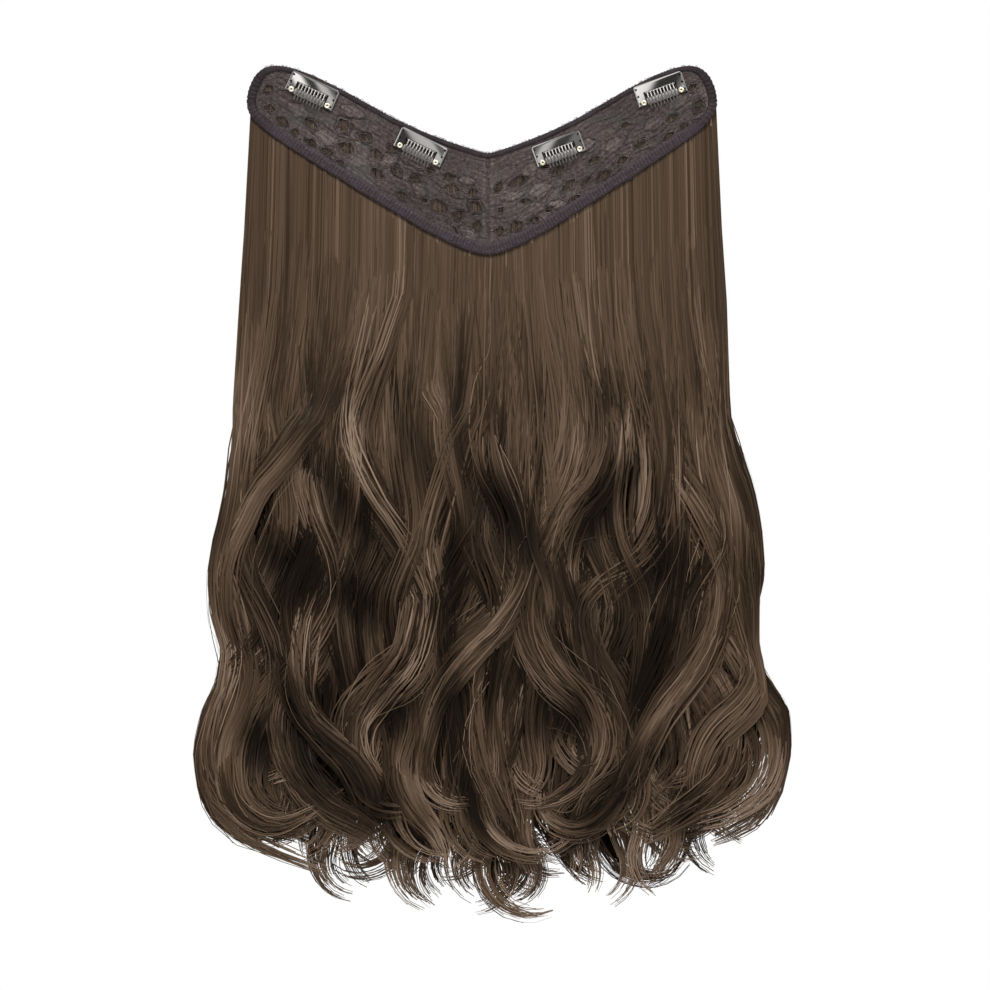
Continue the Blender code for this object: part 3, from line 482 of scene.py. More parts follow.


# behind, lower and veil set how much painted shade a lock takes: behind darkens back layers, lower the low-hanging
# fill, veil the hollows
def lockStrands(path, halfWidth, halfDepth, twist, tone, count, facing, rng, rings=36, rootHalf=14 * mm,
                reach=(0.88, 1.0), clumps=6, loose=1.0, behind=0.0, fine=1.0, veil=1.0, lower=0.0):
    """placeholder"""
    grid = np.linspace(0, 1, len(path))
    tangent = unit(np.gradient(path, axis=0))
    outward = np.array([0.0, float(facing), 0.0])
    across = unit(np.cross(tangent, outward))
    out = unit(np.cross(across, tangent))
    out = out * np.sign(np.sum(out * outward, axis=1, keepdims=True))
    drop = -path[:, 2]
    bend = np.linalg.norm(np.gradient(tangent, axis=0), axis=1)
    bend = np.convolve(np.pad(bend, 4, mode="edge"), np.ones(9) / 9, mode="valid")
    pace = 0.25 * bend.mean() + bend + 0.5 * bend.mean() * (drop > 0.10)      # closer steps where the lock turns
    walked = np.concatenate([[0], np.cumsum(0.5 * (pace[1:] + pace[:-1]))])
    steps = np.interp(np.linspace(0, walked[-1], rings), walked, grid)
    ends = rng.uniform(*reach, count)
    s = steps[None, :] * ends[:, None]

    def at(values):
        return np.interp(s.ravel(), grid, values).reshape(s.shape)

    middle = np.stack([at(path[:, c]) for c in range(3)], axis=-1)
    side = np.stack([at(across[:, c]) for c in range(3)], axis=-1)
    front = np.stack([at(out[:, c]) for c in range(3)], axis=-1)
    fall = at(drop)
    gathered = np.clip((fall - 0.04) / 0.14, 0, 1)
    gathered = gathered * gathered * (3 - 2 * gathered)    # from an even curtain into a lock
    taper = np.interp(s, (0.0, 0.70, 0.90, 1.0), (1.0, 1.0, 0.80, 0.45))
    width = (rootHalf + (halfWidth - rootHalf) * gathered) * taper
    depth = halfDepth * np.interp(fall, (0.0, 0.06, 0.20), (0.10, 0.25, 1.0)) * taper
    clump = rng.integers(clumps, size=count)
    clumpAngle = rng.permutation(np.linspace(-1.35, 1.35, clumps))[clump]
    clumpRadius = rng.uniform(0.62, 0.95, clumps)[clump]
    clumpTone = rng.normal(0, 0.11, clumps)[clump]
    crest = rng.uniform(0, 2 * math.pi)
    clumpPhase = rng.uniform(0, 2 * math.pi, (3, clumps))[:, clump][..., None]
    angle = clumpAngle + rng.normal(0, 0.26, count)
    radius = clumpRadius * rng.uniform(0.72, 1.10, count)
    rootShare = np.sin(angle) * 0.3 + rng.uniform(-1, 1, count)
    swirl = twist * 2.2 * np.clip((fall - 0.12) / 0.30, 0, 1)
    turned = angle[:, None] + swirl
    phase = rng.uniform(0, 2 * math.pi, (2, count, 1))
    free = np.clip((fall - 0.05) / 0.25, 0.05, 1) * loose
    wander = 0.20 * free * (np.sin(s * 8 + clumpPhase[0]) + 0.5 * np.sin(s * 19 + clumpPhase[1]))
    wander = wander + 0.07 * free * (np.sin(s * 13 + phase[0]) + np.sin(s * 29 + phase[1]))
    sideShare = rootShare[:, None] * (1 - gathered) + np.sin(turned) * radius[:, None] * gathered + wander
    frontShare = np.cos(turned) * radius[:, None] + 0.12 * free * np.sin(s * 11 + clumpPhase[2])
    places = middle + side * (sideShare * width)[..., None] + front * (frontShare * depth)[..., None]
    left = np.interp(fall, edgeTable[:, 0], edgeTable[:, 1])
    right = np.interp(fall, edgeTable[:, 0], edgeTable[:, 2])
    inside = rng.uniform(0, 5 * mm, (count, 1))
    give = np.where(fall > 0.15, 0.3, 0.0)
    within = np.clip(places[..., 0], left + inside, right - inside)
    places[..., 0] = within + give * (places[..., 0] - within)
    hollow = hollowAt(places[..., 0], fall) * veil
    places[..., 1] -= facing * 4 * mm * hollow * gathered
    places[..., 2] = np.minimum(places[..., 2], topHeight(places[..., 0]) - 3 * mm)
    normal = side * (np.sin(turned) * gathered / np.maximum(width, 1e-5))[..., None]
    normal = normal + front * (np.cos(turned) / np.maximum(depth, 1e-5))[..., None]
    normal = 0.7 * unit(normal) + 0.6 * front + rng.normal(0, 0.20, (count, 1, 3))
    thick = hair["strandWidth"] * rng.uniform(0.65, 1.25, (count, 1))
    thick = fine * thick * np.interp(s, (0.0, 0.05, 0.85, 1.0), (0.9, 1.0, 1.0, 0.45))
    mixed = clumpTone[:, None] + rng.normal(0, 0.08, (count, 1)) + 0.05 * np.sin(s * 15 + phase[0])
    shade = tone + mixed * (0.62 + 0.38 * gathered)
    # painted highlight and painted shade in turn along each lock's waves
    shade = shade + 0.19 * np.sin(2 * math.pi * fall / 0.150 + crest + 0.5 * clumpPhase[0]) * gathered
    # Painted shade: strands sunk behind the hair's surface, in back layers and low in the fill are darkened, less
    # toward the tips and near the outline
    surface = np.interp(fall, depthTable[:, 0], depthTable[:, 1 if facing < 0 else 2])
    sunk = (places[..., 1] - bowAt(places[..., 0]) - surface) * -facing / mm
    fade = np.interp(s, (0.78, 0.95), (1.0, 0.25))
    deeper = lower * np.interp(fall, (0.12, 0.22, 0.36, 0.40), (0.0, 1.0, 1.0, 0.3))
    rim = np.clip(np.minimum(places[..., 0] - left, right - places[..., 0]) / (30 * mm), 0, 1)
    paintedShade = (0.026 * np.clip(sunk + 4.0, 0, 11) + behind + deeper) * gathered * fade * (0.15 + 0.85 * rim)
    # the hollows are darkened as well: painted shade
    shade = shade - paintedShade - 0.98 * hollow
    # lighter towards the tips, painted light for light through the thin ends, and a little lighter at the root
    shade = shade + np.interp(s, (0.0, 0.3, 0.85, 1.0), (0.05, 0.0, 0.04, 0.28))
    return {"path": places, "normal": unit(normal), "width": thick, "tone": np.clip(shade, 0, 1)}


def lockCore(path, halfWidth, halfDepth, facing, sides=6, rings=30, end=0.86, rootHalf=12 * mm):
    grid = np.linspace(0, 1, len(path))
    steps = np.linspace(0.0, end, rings)
    tangent = unit(np.gradient(path, axis=0))
    across = unit(np.cross(tangent, np.array([0.0, float(facing), 0.0])))
    out = unit(np.cross(across, tangent))

    def at(values):
        return np.stack([np.interp(steps, grid, values[:, c]) for c in range(3)], axis=-1)

    middle, side, front = at(path), at(across), at(out)
    fall = -middle[:, 2]
    gathered = np.clip((fall - 0.04) / 0.14, 0, 1)
    taper = np.interp(steps / end, (0.0, 0.80, 0.93, 1.0), (1.0, 1.0, 0.6, 0.1))
    width = 0.72 * (rootHalf + (halfWidth - rootHalf) * gathered) * taper
    depth = 0.40 * halfDepth * np.interp(fall, (0.0, 0.06, 0.20), (0.12, 0.30, 1.0)) * taper
    middle = middle - front * (0.45 * halfDepth * np.interp(fall, (0.0, 0.06, 0.20), (0.5, 0.7, 1.0)))[:, None]
    turns = np.linspace(0, 2 * math.pi, sides, endpoint=False)
    ring = (middle[:, None] + side[:, None] * (np.cos(turns)[None, :, None] * width[:, None, None])
            + front[:, None] * (np.sin(turns)[None, :, None] * depth[:, None, None]))
    drops = -ring[..., 2]
    left = np.interp(drops, edgeTable[:, 0], edgeTable[:, 1]) + 3 * mm
    right = np.interp(drops, edgeTable[:, 0], edgeTable[:, 2]) - 3 * mm
    ring[..., 0] = np.clip(ring[..., 0], left, right)
    ring[..., 2] = np.minimum(ring[..., 2], topHeight(ring[..., 0]) - 4 * mm)
    return ring


def coreMesh(name, cores, material):
    points, faces = [], []
    base = 0
    for ring in cores:
        rings, sides = ring.shape[:2]
        points.append(ring.reshape(-1, 3))
        index = base + np.arange(rings * sides).reshape(rings, sides)
        nextSide = np.roll(index, -1, axis=1)
        quads = np.stack([index[:-1], nextSide[:-1], nextSide[1:], index[1:]], axis=-1).reshape(-1, 4)
        faces += quads.tolist() + [index[0][::-1].tolist(), index[-1].tolist()]
        base += rings * sides
    points = np.concatenate(points)
    piece = newMesh(name, points.tolist(), faces, material)
    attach(piece, "band")
    return piece


def fillLock(place, rng, longest=1.0):
    """placeholder"""
    levels = np.array([60, 100, 140, 175, 210, 245, 280, 315, 350, 372])
    halfSpan = np.interp(levels, (0, 150, 250, 330, 380, 400), (143, 147, 150, 158, 150, 146))
    swing = np.interp(levels, (90, 170, 280, 400), (0, 8, 15, 17))
    side = 1 if place > 0 else -1
    phase = 1.5 * math.pi * abs(place) + rng.normal(0, 0.35)
    wave = 155 + rng.normal(0, 8)
    x = place * halfSpan + side * swing * np.sin(2 * math.pi * (levels - 90) / wave + phase)
    longest = longest * (1.085 - 0.12 * abs(place) ** 3)
    drop = levels * (1 + (longest - 1) * np.clip((levels - 200) / 150, 0, 1))
    points = [(a, b) for a, b in zip(x, drop)]
    inward = -side if rng.random() < 0.7 else side
    return points + tipCurl(points, inward, rng.uniform(14, 30), rng.uniform(0.7, 2.2))


def tipCurl(points, turn, radius, sweep, steps=5):
    """placeholder"""
    (x0, d0), (x1, d1) = points[-2:]
    heading = math.atan2(x1 - x0, d1 - d0)
    curl = []
    for k in range(1, steps + 1):
        a = sweep * k / steps
        ahead, aside = radius * math.sin(a), turn * radius * (1 - math.cos(a))
        curl.append((x1 + ahead * math.sin(heading) + aside * math.cos(heading),
                     d1 + ahead * math.cos(heading) - aside * math.sin(heading)))
    return curl


def endCurl(place, rng, k):
    side = 1 if place > 0 else -1
    x = place * 142 + rng.normal(0, 4)
    low = rng.uniform(318, 352) + 26 * (k % 2) * (1 - place ** 2)
    points = [(x * 0.93, 80), (x * 0.95, 150), (x - side * 8, 205), (x + side * 8, 255), (x - side * 3, low - 30), (x, low)]
    turn = -side if (k % 3) or abs(place) > 0.8 else side
    return points + tipCurl(points, turn, rng.uniform(22, 40), rng.uniform(1.1, 2.1), steps=6)


def weftRoots(rng):
    count, rings = 620, 5
    x = np.linspace(-band["leftReach"] + 4 * mm, band["rightReach"] - 4 * mm, count) + rng.normal(0, 0.2 * mm, count)
    high, low = topHeight(x) - 3.5 * mm, bottomHeight(x) - 4 * mm
    share = np.linspace(0, 1, rings)
    lean = rng.normal(0, 1.6 * mm, count)
    path = np.stack([x[:, None] + lean[:, None] * share ** 2,
                     bowAt(x)[:, None] + rng.uniform(1.6, 2.6, (count, 1)) * mm + 0 * share,
                     high[:, None] + (low - high)[:, None] * share], axis=-1)
    path[..., 0] = np.clip(path[..., 0], -band["leftReach"] + 4 * mm, band["rightReach"] - 4 * mm)
    normal = unit(np.array([0.0, -1.0, 0.0]) + rng.normal(0, 0.25, (count, 1, 3)) + 0 * path)
    # the roots are painted lighter than the hair: painted light against the lace's shadow on them
    tone = np.clip(0.80 + rng.normal(0, 0.13, (count, 1)) + 0 * share, 0, 1)
    return {"path": path, "normal": normal, "width": 1.0 * mm + 0 * tone, "tone": tone}


def buildHair():
    rng = np.random.default_rng(hair["seed"])
    material = hairMaterial()
    groups = {name: [] for name in ("hairFrontLeft", "hairFrontMiddleLeft", "hairFrontMiddleRight", "hairFrontRight",
                                    "hairBackLeft", "hairBackRight")}
    cores = []

    def frontGroup(x):                                     # x in mm
        return groups["hairFront" + ("MiddleLeft" if x < 0 else "MiddleRight" if x < 72 else "Right")
                      if x > -72 else "hairFrontLeft"]

    for name, (halfWidth, forward, twist, tone, points) in frontLocks.items():
        path, length = lockPath(points, forward, -1, rng)
        halfWidth *= 1.35
        group = frontGroup(np.mean([x for x, _ in points]))
        group.append(lockStrands(path, halfWidth * mm, 0.45 * halfWidth * mm, twist, tone, 135, -1, rng, clumps=8,
                                 veil=0.75, lower=0.07))
        cores.append(lockCore(path, halfWidth * mm, 0.6 * halfWidth * mm, -1))
        group.append(lockStrands(path, 1.5 * halfWidth * mm, 0.5 * halfWidth * mm, twist, 0.6, 5, -1, rng, clumps=5,
                                 loose=1.8, fine=0.5, veil=0.3))
    for k in range(40):
        place = -1 + 2 * (k + 0.5) / 40
        points = fillLock(place, rng, longest=rng.uniform(0.96, 1.03))
        path, length = lockPath(points, 1 - 4 * (k % 3), -1, rng)
        halfWidth = 13 * mm
        frontGroup(145 * place).append(
            lockStrands(path, halfWidth, 0.5 * halfWidth, rng.uniform(-0.5, 0.5), 0.56, 66, -1, rng, rings=33,
                        reach=(0.92, 1.0), behind=0.04 + 0.10 * (k % 3), lower=0.27))
        cores.append(lockCore(path, halfWidth, 0.6 * halfWidth, -1, end=0.91))
    for k in range(28):
        place = -1 + 2 * (k + 0.5) / 28
        points = fillLock(place, rng, longest=rng.uniform(0.94, 1.05))
        path, length = lockPath(points, 3 * (k % 2), 1, rng)
        halfWidth = 13 * mm
        batch = lockStrands(path, halfWidth, 0.6 * halfWidth, rng.uniform(-0.5, 0.5), 0.5, 64, 1, rng, rings=33,
                            reach=(0.92, 1.0))
        groups["hairBackLeft" if place < 0 else "hairBackRight"].append(batch)
        cores.append(lockCore(path, halfWidth, 0.6 * halfWidth, 1, end=0.92))
    for k in range(28):
        place = -1 + 2 * (k + 0.5) / 28
        points = endCurl(place, rng, k)
        path, length = lockPath(points, 3 + 3 * (k % 3), -1, rng)
        halfWidth = rng.uniform(10, 14) * mm
        frontGroup(142 * place).append(
            lockStrands(path, halfWidth, 0.45 * halfWidth, rng.uniform(-0.5, 0.5), 0.56, 80, -1, rng, rings=33,
                        reach=(0.86, 1.0), behind=0.05 * (k % 3), veil=0.9, lower=0.20))
        cores.append(lockCore(path, halfWidth, 0.5 * halfWidth, -1, end=0.92))
    for k in range(12):                                    # between front and back at the sides
        place = (-1, 1)[k % 2] * (0.98 - 0.04 * (k // 6))
        level = (0.30, 0.55, 0.80)[(k // 2) % 3]
        path, length = lockPath(fillLock(place, rng), 0, -1, rng, level=level)
        batch = lockStrands(path, 11 * mm, 7 * mm, rng.uniform(-0.5, 0.5), 0.62, 56, -1, rng, rings=33, rootHalf=5 * mm)
        groups["hairBackLeft" if place < 0 else "hairBackRight"].append(batch)
        cores.append(lockCore(path, 11 * mm, 7 * mm, -1, rootHalf=5 * mm))
    groups["hairBackLeft"].append(weftRoots(rng))
    pieces = [ribbons(name, batches, material) for name, batches in groups.items()]
    # near-black cores inside the locks: painted shade behind the strands
    core = coreMesh("hairCores", cores, shadeMaterial())
    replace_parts(core, "hair_inner", "hair_outer")
    return pieces + [core]


# Lace lining: cloth pierced by leaf windows, which show the hair's roots behind it
lace = {
    "cell": 0.76 * mm,
    "rows": 82,
    "seam": (-1.2, 1.2),               # the middle seam runs from the notch to the tip
    "windows": (                       # middle across and up, half length, half width in mm, turn in degrees
        (-137.5, 70.5, 4.2, 2.3, 35), (-136.5, 58.5, 4.6, 2.2, -20), (-128.5, 50.5, 4.8, 2.4, -35),
        (-120.5, 43.6, 3.6, 2.0, -30), (-111.0, 49.5, 5.0, 2.4, -40), (-111.5, 37.6, 4.6, 2.2, -28),
        (-100.5, 31.6, 4.8, 2.3, -32), (-90.5, 48.5, 5.6, 3.1, -62), (-89.0, 34.5, 6.2, 3.2, -24),
        (-93.0, 25.0, 3.6, 1.8, -20), (-77.0, 41.0, 4.2, 2.0, -35), (-70.0, 30.5, 5.6, 2.4, -38),
        (-69.0, 18.8, 5.2, 2.4, -35), (-59.5, 34.5, 4.0, 1.9, -25), (-57.0, 20.0, 4.4, 2.0, -60),
        (-53.5, 4.8, 4.6, 2.1, -30), (-46.0, 15.5, 3.8, 1.9, 10), (-40.5, 2.0, 4.0, 1.8, -35),
        (-36.0, 20.5, 3.6, 1.6, -15), (-23.5, 17.0, 4.6, 1.8, -8), (-22.5, 9.0, 5.4, 2.8, -14),
        (-31.0, -1.8, 6.6, 4.0, -28), (-18.5, -7.5, 4.0, 2.2, 35), (-20.5, -17.0, 4.0, 1.6, -58),
        (-9.5, 6.8, 3.6, 2.2, 5), (-8.0, -2.6, 4.4, 3.2, 60), (-7.0, -14.8, 4.6, 2.4, 70),
        (6.5, 9.8, 4.4, 2.2, 62), (19.0, 13.8, 7.2, 2.5, 24), (23.5, 1.4, 3.8, 1.9, 5),
        (8.0, -4.5, 3.2, 1.5, 50), (7.5, -17.8, 4.4, 2.3, 78), (17.5, -14.6, 5.0, 2.7, 38),
        (28.5, -10.6, 3.8, 1.8, 24), (36.0, 23.2, 3.8, 1.5, 22), (44.0, 20.6, 5.4, 2.1, 30),
        (50.5, 11.2, 6.0, 2.5, 42), (38.5, -3.8, 3.6, 1.7, 30), (53.5, 1.6, 6.2, 2.5, 35),
        (61.5, 13.6, 4.4, 1.9, 48), (66.5, 27.0, 4.8, 2.0, 26), (72.5, 17.2, 5.4, 2.2, 34),
        (68.5, 6.9, 3.0, 1.5, 30), (84.0, 26.5, 4.6, 2.1, 30), (86.0, 48.5, 3.8, 1.7, 24),
        (95.0, 36.6, 5.2, 2.3, 38), (104.0, 31.6, 3.4, 1.6, 40), (113.0, 41.0, 5.2, 2.2, 42),
        (115.5, 53.0, 4.6, 2.0, 30), (122.5, 47.2, 4.2, 2.0, 55), (131.5, 60.5, 4.8, 2.2, 62),
        (128.0, 72.0, 4.0, 1.9, 40),
    ),
    "patches": (                       # close-woven leaves between the windows, placed in the same way
        (-119.0, 58.0, 8.5, 3.4, -30), (-101.0, 40.5, 7.5, 3.2, -26), (-80.0, 27.0, 7.0, 3.0, 40),
        (-84.5, 57.0, 9.0, 3.6, -24), (-62.0, 26.5, 6.0, 2.6, 25), (-45.0, 27.0, 9.5, 3.8, -22),
        (-43.0, 8.5, 6.5, 2.8, -45), (-13.0, 14.0, 6.0, 2.6, -12), (-12.0, -19.0, 6.5, 2.8, -35),
        (15.0, 4.5, 8.0, 3.0, 14), (33.0, 8.5, 8.5, 3.6, 20), (27.0, 21.0, 7.0, 2.8, 22),
        (43.5, -1.0, 7.5, 2.6, 8), (60.0, 36.0, 9.0, 3.4, 22), (80.0, 37.0, 8.5, 3.2, 30),
        (88.0, 17.5, 6.5, 2.6, 34), (104.5, 50.0, 8.5, 3.2, 28), (119.0, 63.5, 8.0, 3.2, 34),
    ),
    "stems": (                         # share of the height, wave in mm, wave length in mm, phase
        (0.20, 2.2, 31, 0.3), (0.36, 3.0, 44, 1.4), (0.52, 2.6, 37, 2.9),
        (0.68, 3.2, 52, 4.1), (0.82, 1.8, 29, 5.2),
    ),
    "tones": (
        (0.00, (0.0085, 0.0060, 0.0068)),
        (0.40, (0.0420, 0.0303, 0.0295)),
        (0.65, (0.0850, 0.0640, 0.0620)),
        (1.00, (0.2050, 0.1700, 0.1620)),
    ),
    "tint": (0.060, 0.068, 0.060),
}


def clothMaterial(name, stops, tint, speckle, ribs, ribLength, roughness=0.88):
    material, tree, shader = newMaterial(name, roughness)
    nodes, links = tree.nodes, tree.links
    place = nodes.new("ShaderNodeTexCoord")
    tone = nodes.new("ShaderNodeAttribute")
    tone.attribute_name = "tone"
    grain = nodes.new("ShaderNodeTexNoise")
    grain.inputs["Scale"].default_value = 520.0
    grain.inputs["Detail"].default_value = 5.0
    grain.inputs["Roughness"].default_value = 0.7
    wave = nodes.new("ShaderNodeTexWave")
    wave.bands_direction = "Z"
    wave.inputs["Scale"].default_value = 0.3142 / ribLength
    wave.inputs["Distortion"].default_value = 6.0
    wave.inputs["Detail Scale"].default_value = 1.1
    weave = nodes.new("ShaderNodeAttribute")              # the cloth's own axes, along the arm and across it
    weave.attribute_name = "weave"
    cloud = nodes.new("ShaderNodeTexNoise")
    cloud.inputs["Scale"].default_value = 70.0
    for texture in (grain, cloud):
        links.new(place.outputs["Object"], texture.inputs["Vector"])
    links.new(weave.outputs["Vector"], wave.inputs["Vector"])
    addGrain = nodes.new("ShaderNodeMath")
    addGrain.operation = "MULTIPLY_ADD"
    addGrain.inputs[1].default_value = speckle
    addWave = nodes.new("ShaderNodeMath")
    addWave.operation = "MULTIPLY_ADD"
    addWave.inputs[1].default_value = ribs
    centre = nodes.new("ShaderNodeMath")
    centre.operation = "SUBTRACT"
    centre.inputs[1].default_value = 0.5 * (speckle + ribs)
    links.new(grain.outputs["Fac"], addGrain.inputs[0])
    links.new(tone.outputs["Fac"], addGrain.inputs[2])
    links.new(wave.outputs["Fac"], addWave.inputs[0])
    links.new(addGrain.outputs[0], addWave.inputs[2])
    links.new(addWave.outputs[0], centre.inputs[0])
    ramp = addRamp(tree, stops)
    links.new(centre.outputs[0], ramp.inputs["Fac"])
    spread = addRamp(tree, ((0.52, (0, 0, 0)), (0.72, (0.42, 0.42, 0.42))))
    links.new(cloud.outputs["Fac"], spread.inputs["Fac"])
    mix = nodes.new("ShaderNodeMix")
    mix.data_type = "RGBA"
    mix.inputs["B"].default_value = (*tint, 1.0)
    links.new(spread.outputs["Color"], mix.inputs["Factor"])
    links.new(ramp.outputs["Color"], mix.inputs["A"])
    links.new(mix.outputs["Result"], shader.inputs["Base Color"])
    shader.inputs["Specular IOR Level"].default_value = 0.25
    return material


def addTone(mesh, tones):
    mesh.attributes.new("tone", "FLOAT", "POINT").data.foreach_set("value", np.asarray(tones, np.float32).ravel())


def leafHalf(t, leaf):
    uneven = 1 + 0.26 * math.sin(leaf[0]) * np.sin(2.6 * t + leaf[1]) + 0.14 * np.sin(9 * t + leaf[0])
    return 1.15 * leaf[3] * mm * np.clip(1 - t ** 2, -0.7, 1) * uneven


def leafAxes(x, z, leaf):
    middleX, middleZ, halfLength, halfWidth, turn = (v * mm for v in leaf)
    angle = math.radians(turn / mm)
    along = (x - middleX) * math.cos(angle) + (z - middleZ) * math.sin(angle)
    across = (z - middleZ) * math.cos(angle) - (x - middleX) * math.sin(angle)
    edge = leafHalf(along / halfLength, leaf)
    return along, across, edge, (middleX, middleZ, halfLength, angle)


def fromLeaf(along, across, axes):
    middleX, middleZ, _, angle = axes
    return (middleX + along * math.cos(angle) - across * math.sin(angle),
            middleZ + along * math.sin(angle) + across * math.cos(angle))


def gridFaces(index, kept):
    quads = np.stack([index[:-1, :-1], index[1:, :-1], index[1:, 1:], index[:-1, 1:]], axis=-1)
    return quads[kept].reshape(-1, 4)


def tubes(name, runs, material, sides=5):
    points, faces, tones = [], [], []
    base = 0
    turns = np.linspace(0, 2 * math.pi, sides, endpoint=False)
    for line, radius, tone, closed in runs:
        line = np.asarray(line, float)
        count = len(line)
        tangent = np.roll(line, -1, axis=0) - np.roll(line, 1, axis=0) if closed else np.gradient(line, axis=0)
        side = unit(np.cross(unit(tangent), np.array([0.0, 1.0, 0.0])))
        up = unit(np.cross(side, unit(tangent)))
        radii = np.broadcast_to(radius, count)
        ring = (line[:, None] + side[:, None] * (np.cos(turns)[None, :] * radii[:, None])[..., None]
                + up[:, None] * (np.sin(turns)[None, :] * radii[:, None])[..., None])
        index = base + np.arange(count * sides).reshape(count, sides)
        around = np.concatenate([index, index[:, :1]], axis=1)
        if closed:
            around = np.concatenate([around, around[:1]], axis=0)
        else:
            faces.append(index[0][::-1].tolist())
            faces.append(index[-1].tolist())
        quads = np.stack([around[:-1, :-1], around[:-1, 1:], around[1:, 1:], around[1:, :-1]], axis=-1)
        faces += quads.reshape(-1, 4).tolist()
        points.append(ring.reshape(-1, 3))
        tones.append(np.full(count * sides, tone))
        base += count * sides
    piece = newMesh(name, np.concatenate(points).tolist(), faces, material)
    addTone(piece.data, np.concatenate(tones))
    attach(piece, "band")
    return piece


def onLining(x, z, proud):
    return np.stack([x, bowAt(x) - proud, z], axis=-1)


def laceGround(material, rng):
    columns = int((band["leftReach"] + band["rightReach"] - 3 * mm) / lace["cell"])
    across = np.linspace(-band["leftReach"] + 1.5 * mm, band["rightReach"] - 1.5 * mm, columns)
    share = np.linspace(0, 1, lace["rows"])
    x = np.repeat(across[:, None], lace["rows"], axis=1)
    low, high = bottomHeight(across) + 1 * mm, topHeight(across) - 1 * mm
    z = low[:, None] + (high - low)[:, None] * share[None, :]
    tone = 0.53 + 0.05 * np.sin(x / (19 * mm)) + 0.04 * np.sin(z / (7 * mm) + x / (31 * mm))
    across = share[None, :] * np.minimum(high - low, 62 * mm)[:, None] + 1.6 * mm * np.sin(x / (11 * mm) + z / (9 * mm))
    weave = np.stack([x, 0 * x, across], axis=-1)
    rows = 2 * math.pi * across / (3.1 * mm) + 0.9 * np.sin(x / (5.3 * mm)) + np.sin(x / (13 * mm))
    tone = tone + 0.055 * np.sin(rows)
    relief = 0.10 * mm * np.sin(rows) + 0.12 * mm * np.sin(x / (9 * mm) + z / (6 * mm))
    relief = relief + 0.05 * mm * rng.normal(0, 1, x.shape)
    for leaf in lace["patches"]:
        along, aside, edge, axes = leafAxes(x, z, leaf)
        inside = np.clip((edge - np.abs(aside)) / (0.9 * mm), 0, 1) * (np.abs(along) < axes[2])
        relief = relief + 0.35 * mm * inside
        tone = tone + inside * (0.10 + 0.05 * np.sin(2 * math.pi * along / (1.9 * mm)))
    middle = np.exp(-(x / (1.3 * mm)) ** 2)
    tone = tone - 0.10 * middle + 0.12 * np.exp(-((np.abs(x) - 2.4 * mm) / (0.8 * mm)) ** 2)
    relief = relief - 0.3 * mm * middle
    open_ = np.zeros(np.array(x.shape) - 1, bool)
    reach = 0.60 * lace["cell"]
    for leaf in lace["windows"]:
        along, aside, edge, axes = leafAxes(x, z, leaf)
        near = (np.abs(np.abs(aside) - edge) < reach) & (np.abs(along) < axes[2])
        snappedX, snappedZ = fromLeaf(along, np.sign(aside) * edge, axes)
        x, z = np.where(near, snappedX, x), np.where(near, snappedZ, z)
        tone = tone - 0.05 * np.exp(-np.clip(np.abs(aside) - edge, 0, None) / (0.8 * mm)) * (np.abs(along) < axes[2])
    for leaf in lace["windows"]:
        middleX = 0.25 * (x[:-1, :-1] + x[1:, :-1] + x[1:, 1:] + x[:-1, 1:])
        middleZ = 0.25 * (z[:-1, :-1] + z[1:, :-1] + z[1:, 1:] + z[:-1, 1:])
        along, aside, edge, axes = leafAxes(middleX, middleZ, leaf)
        open_ |= (np.abs(aside) < edge) & (np.abs(along) < axes[2])
    index = np.arange(x.size).reshape(x.shape)
    points = onLining(x, z, relief).reshape(-1, 3)
    faces = gridFaces(index, ~open_)
    piece = newMesh("laceLining", points.tolist(), faces.tolist(), material)
    addTone(piece.data, tone)
    cloth = piece.data.attributes.new("weave", "FLOAT_VECTOR", "POINT")
    cloth.data.foreach_set("vector", weave.astype(np.float32).ravel())
    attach(piece, "band")
    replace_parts(piece, "lace_lining")
    return piece


def laceCords(material, rng):
    runs = []
    turns = np.linspace(0, 2 * math.pi, 28, endpoint=False)
    for leaf in lace["windows"] + lace["patches"]:
        _, _, _, axes = leafAxes(0.0, 0.0, leaf)
        along = axes[2] * np.cos(turns)
        aside = np.sign(np.sin(turns)) * leafHalf(np.cos(turns), leaf)
        x, z = fromLeaf(along, aside, axes)
        runs.append((onLining(x, z, 0.25 * mm), 0.30 * mm, rng.uniform(0.45, 0.82), True))
        if rng.random() < 0.50:                        # a second, wider round
            x, z = fromLeaf(1.30 * along, 1.5 * aside, axes)
            x = np.clip(x, -band["leftReach"] + 5 * mm, band["rightReach"] - 5 * mm)
            z = np.clip(z, bottomHeight(x) + 5 * mm, topHeight(x) - 3 * mm)
            runs.append((onLining(x, z, 0.22 * mm), 0.25 * mm, rng.uniform(0.25, 0.85), True))
    for leaf in lace["windows"]:
        _, _, _, axes = leafAxes(0.0, 0.0, leaf)
        for sign in (-1, 1):
            if rng.random() < 0.75:                    # a tail that curls off the leaf's tip
                sweep = np.linspace(0, rng.uniform(1.6, 3.6), 16)
                radius = rng.uniform(1.6, 3.4) * mm * (1 - 0.12 * sweep)
                turn = rng.choice((-1, 1))
                along = sign * (axes[2] + radius * np.sin(sweep))
                aside = turn * radius * (1 - np.cos(sweep))
                x, z = fromLeaf(along, aside, axes)
                inside = (z > bottomHeight(x) + 3 * mm) & (z < topHeight(x) - 3 * mm)
                if inside.all():
                    runs.append((onLining(x, z, 0.25 * mm), 0.27 * mm, rng.uniform(0.55, 0.85), False))
    for share, wave, length, phase in lace["stems"]:
        for side in (-1, 1):
            reach = band["leftReach"] if side < 0 else band["rightReach"]
            x = side * np.linspace(0.01, 0.93, 230) * reach
            height = topHeight(x) - bottomHeight(x)
            swing = wave * mm * np.sin(2 * math.pi * x / (length * mm) + phase + side) * np.clip(height / 0.05, 0, 1)
            z = bottomHeight(x) + share * height + swing
            runs.append((onLining(x, z, 0.2 * mm), 0.24 * mm, 0.52 + 0.16 * share, False))
    return tubes("laceCords", runs, material, sides=4)


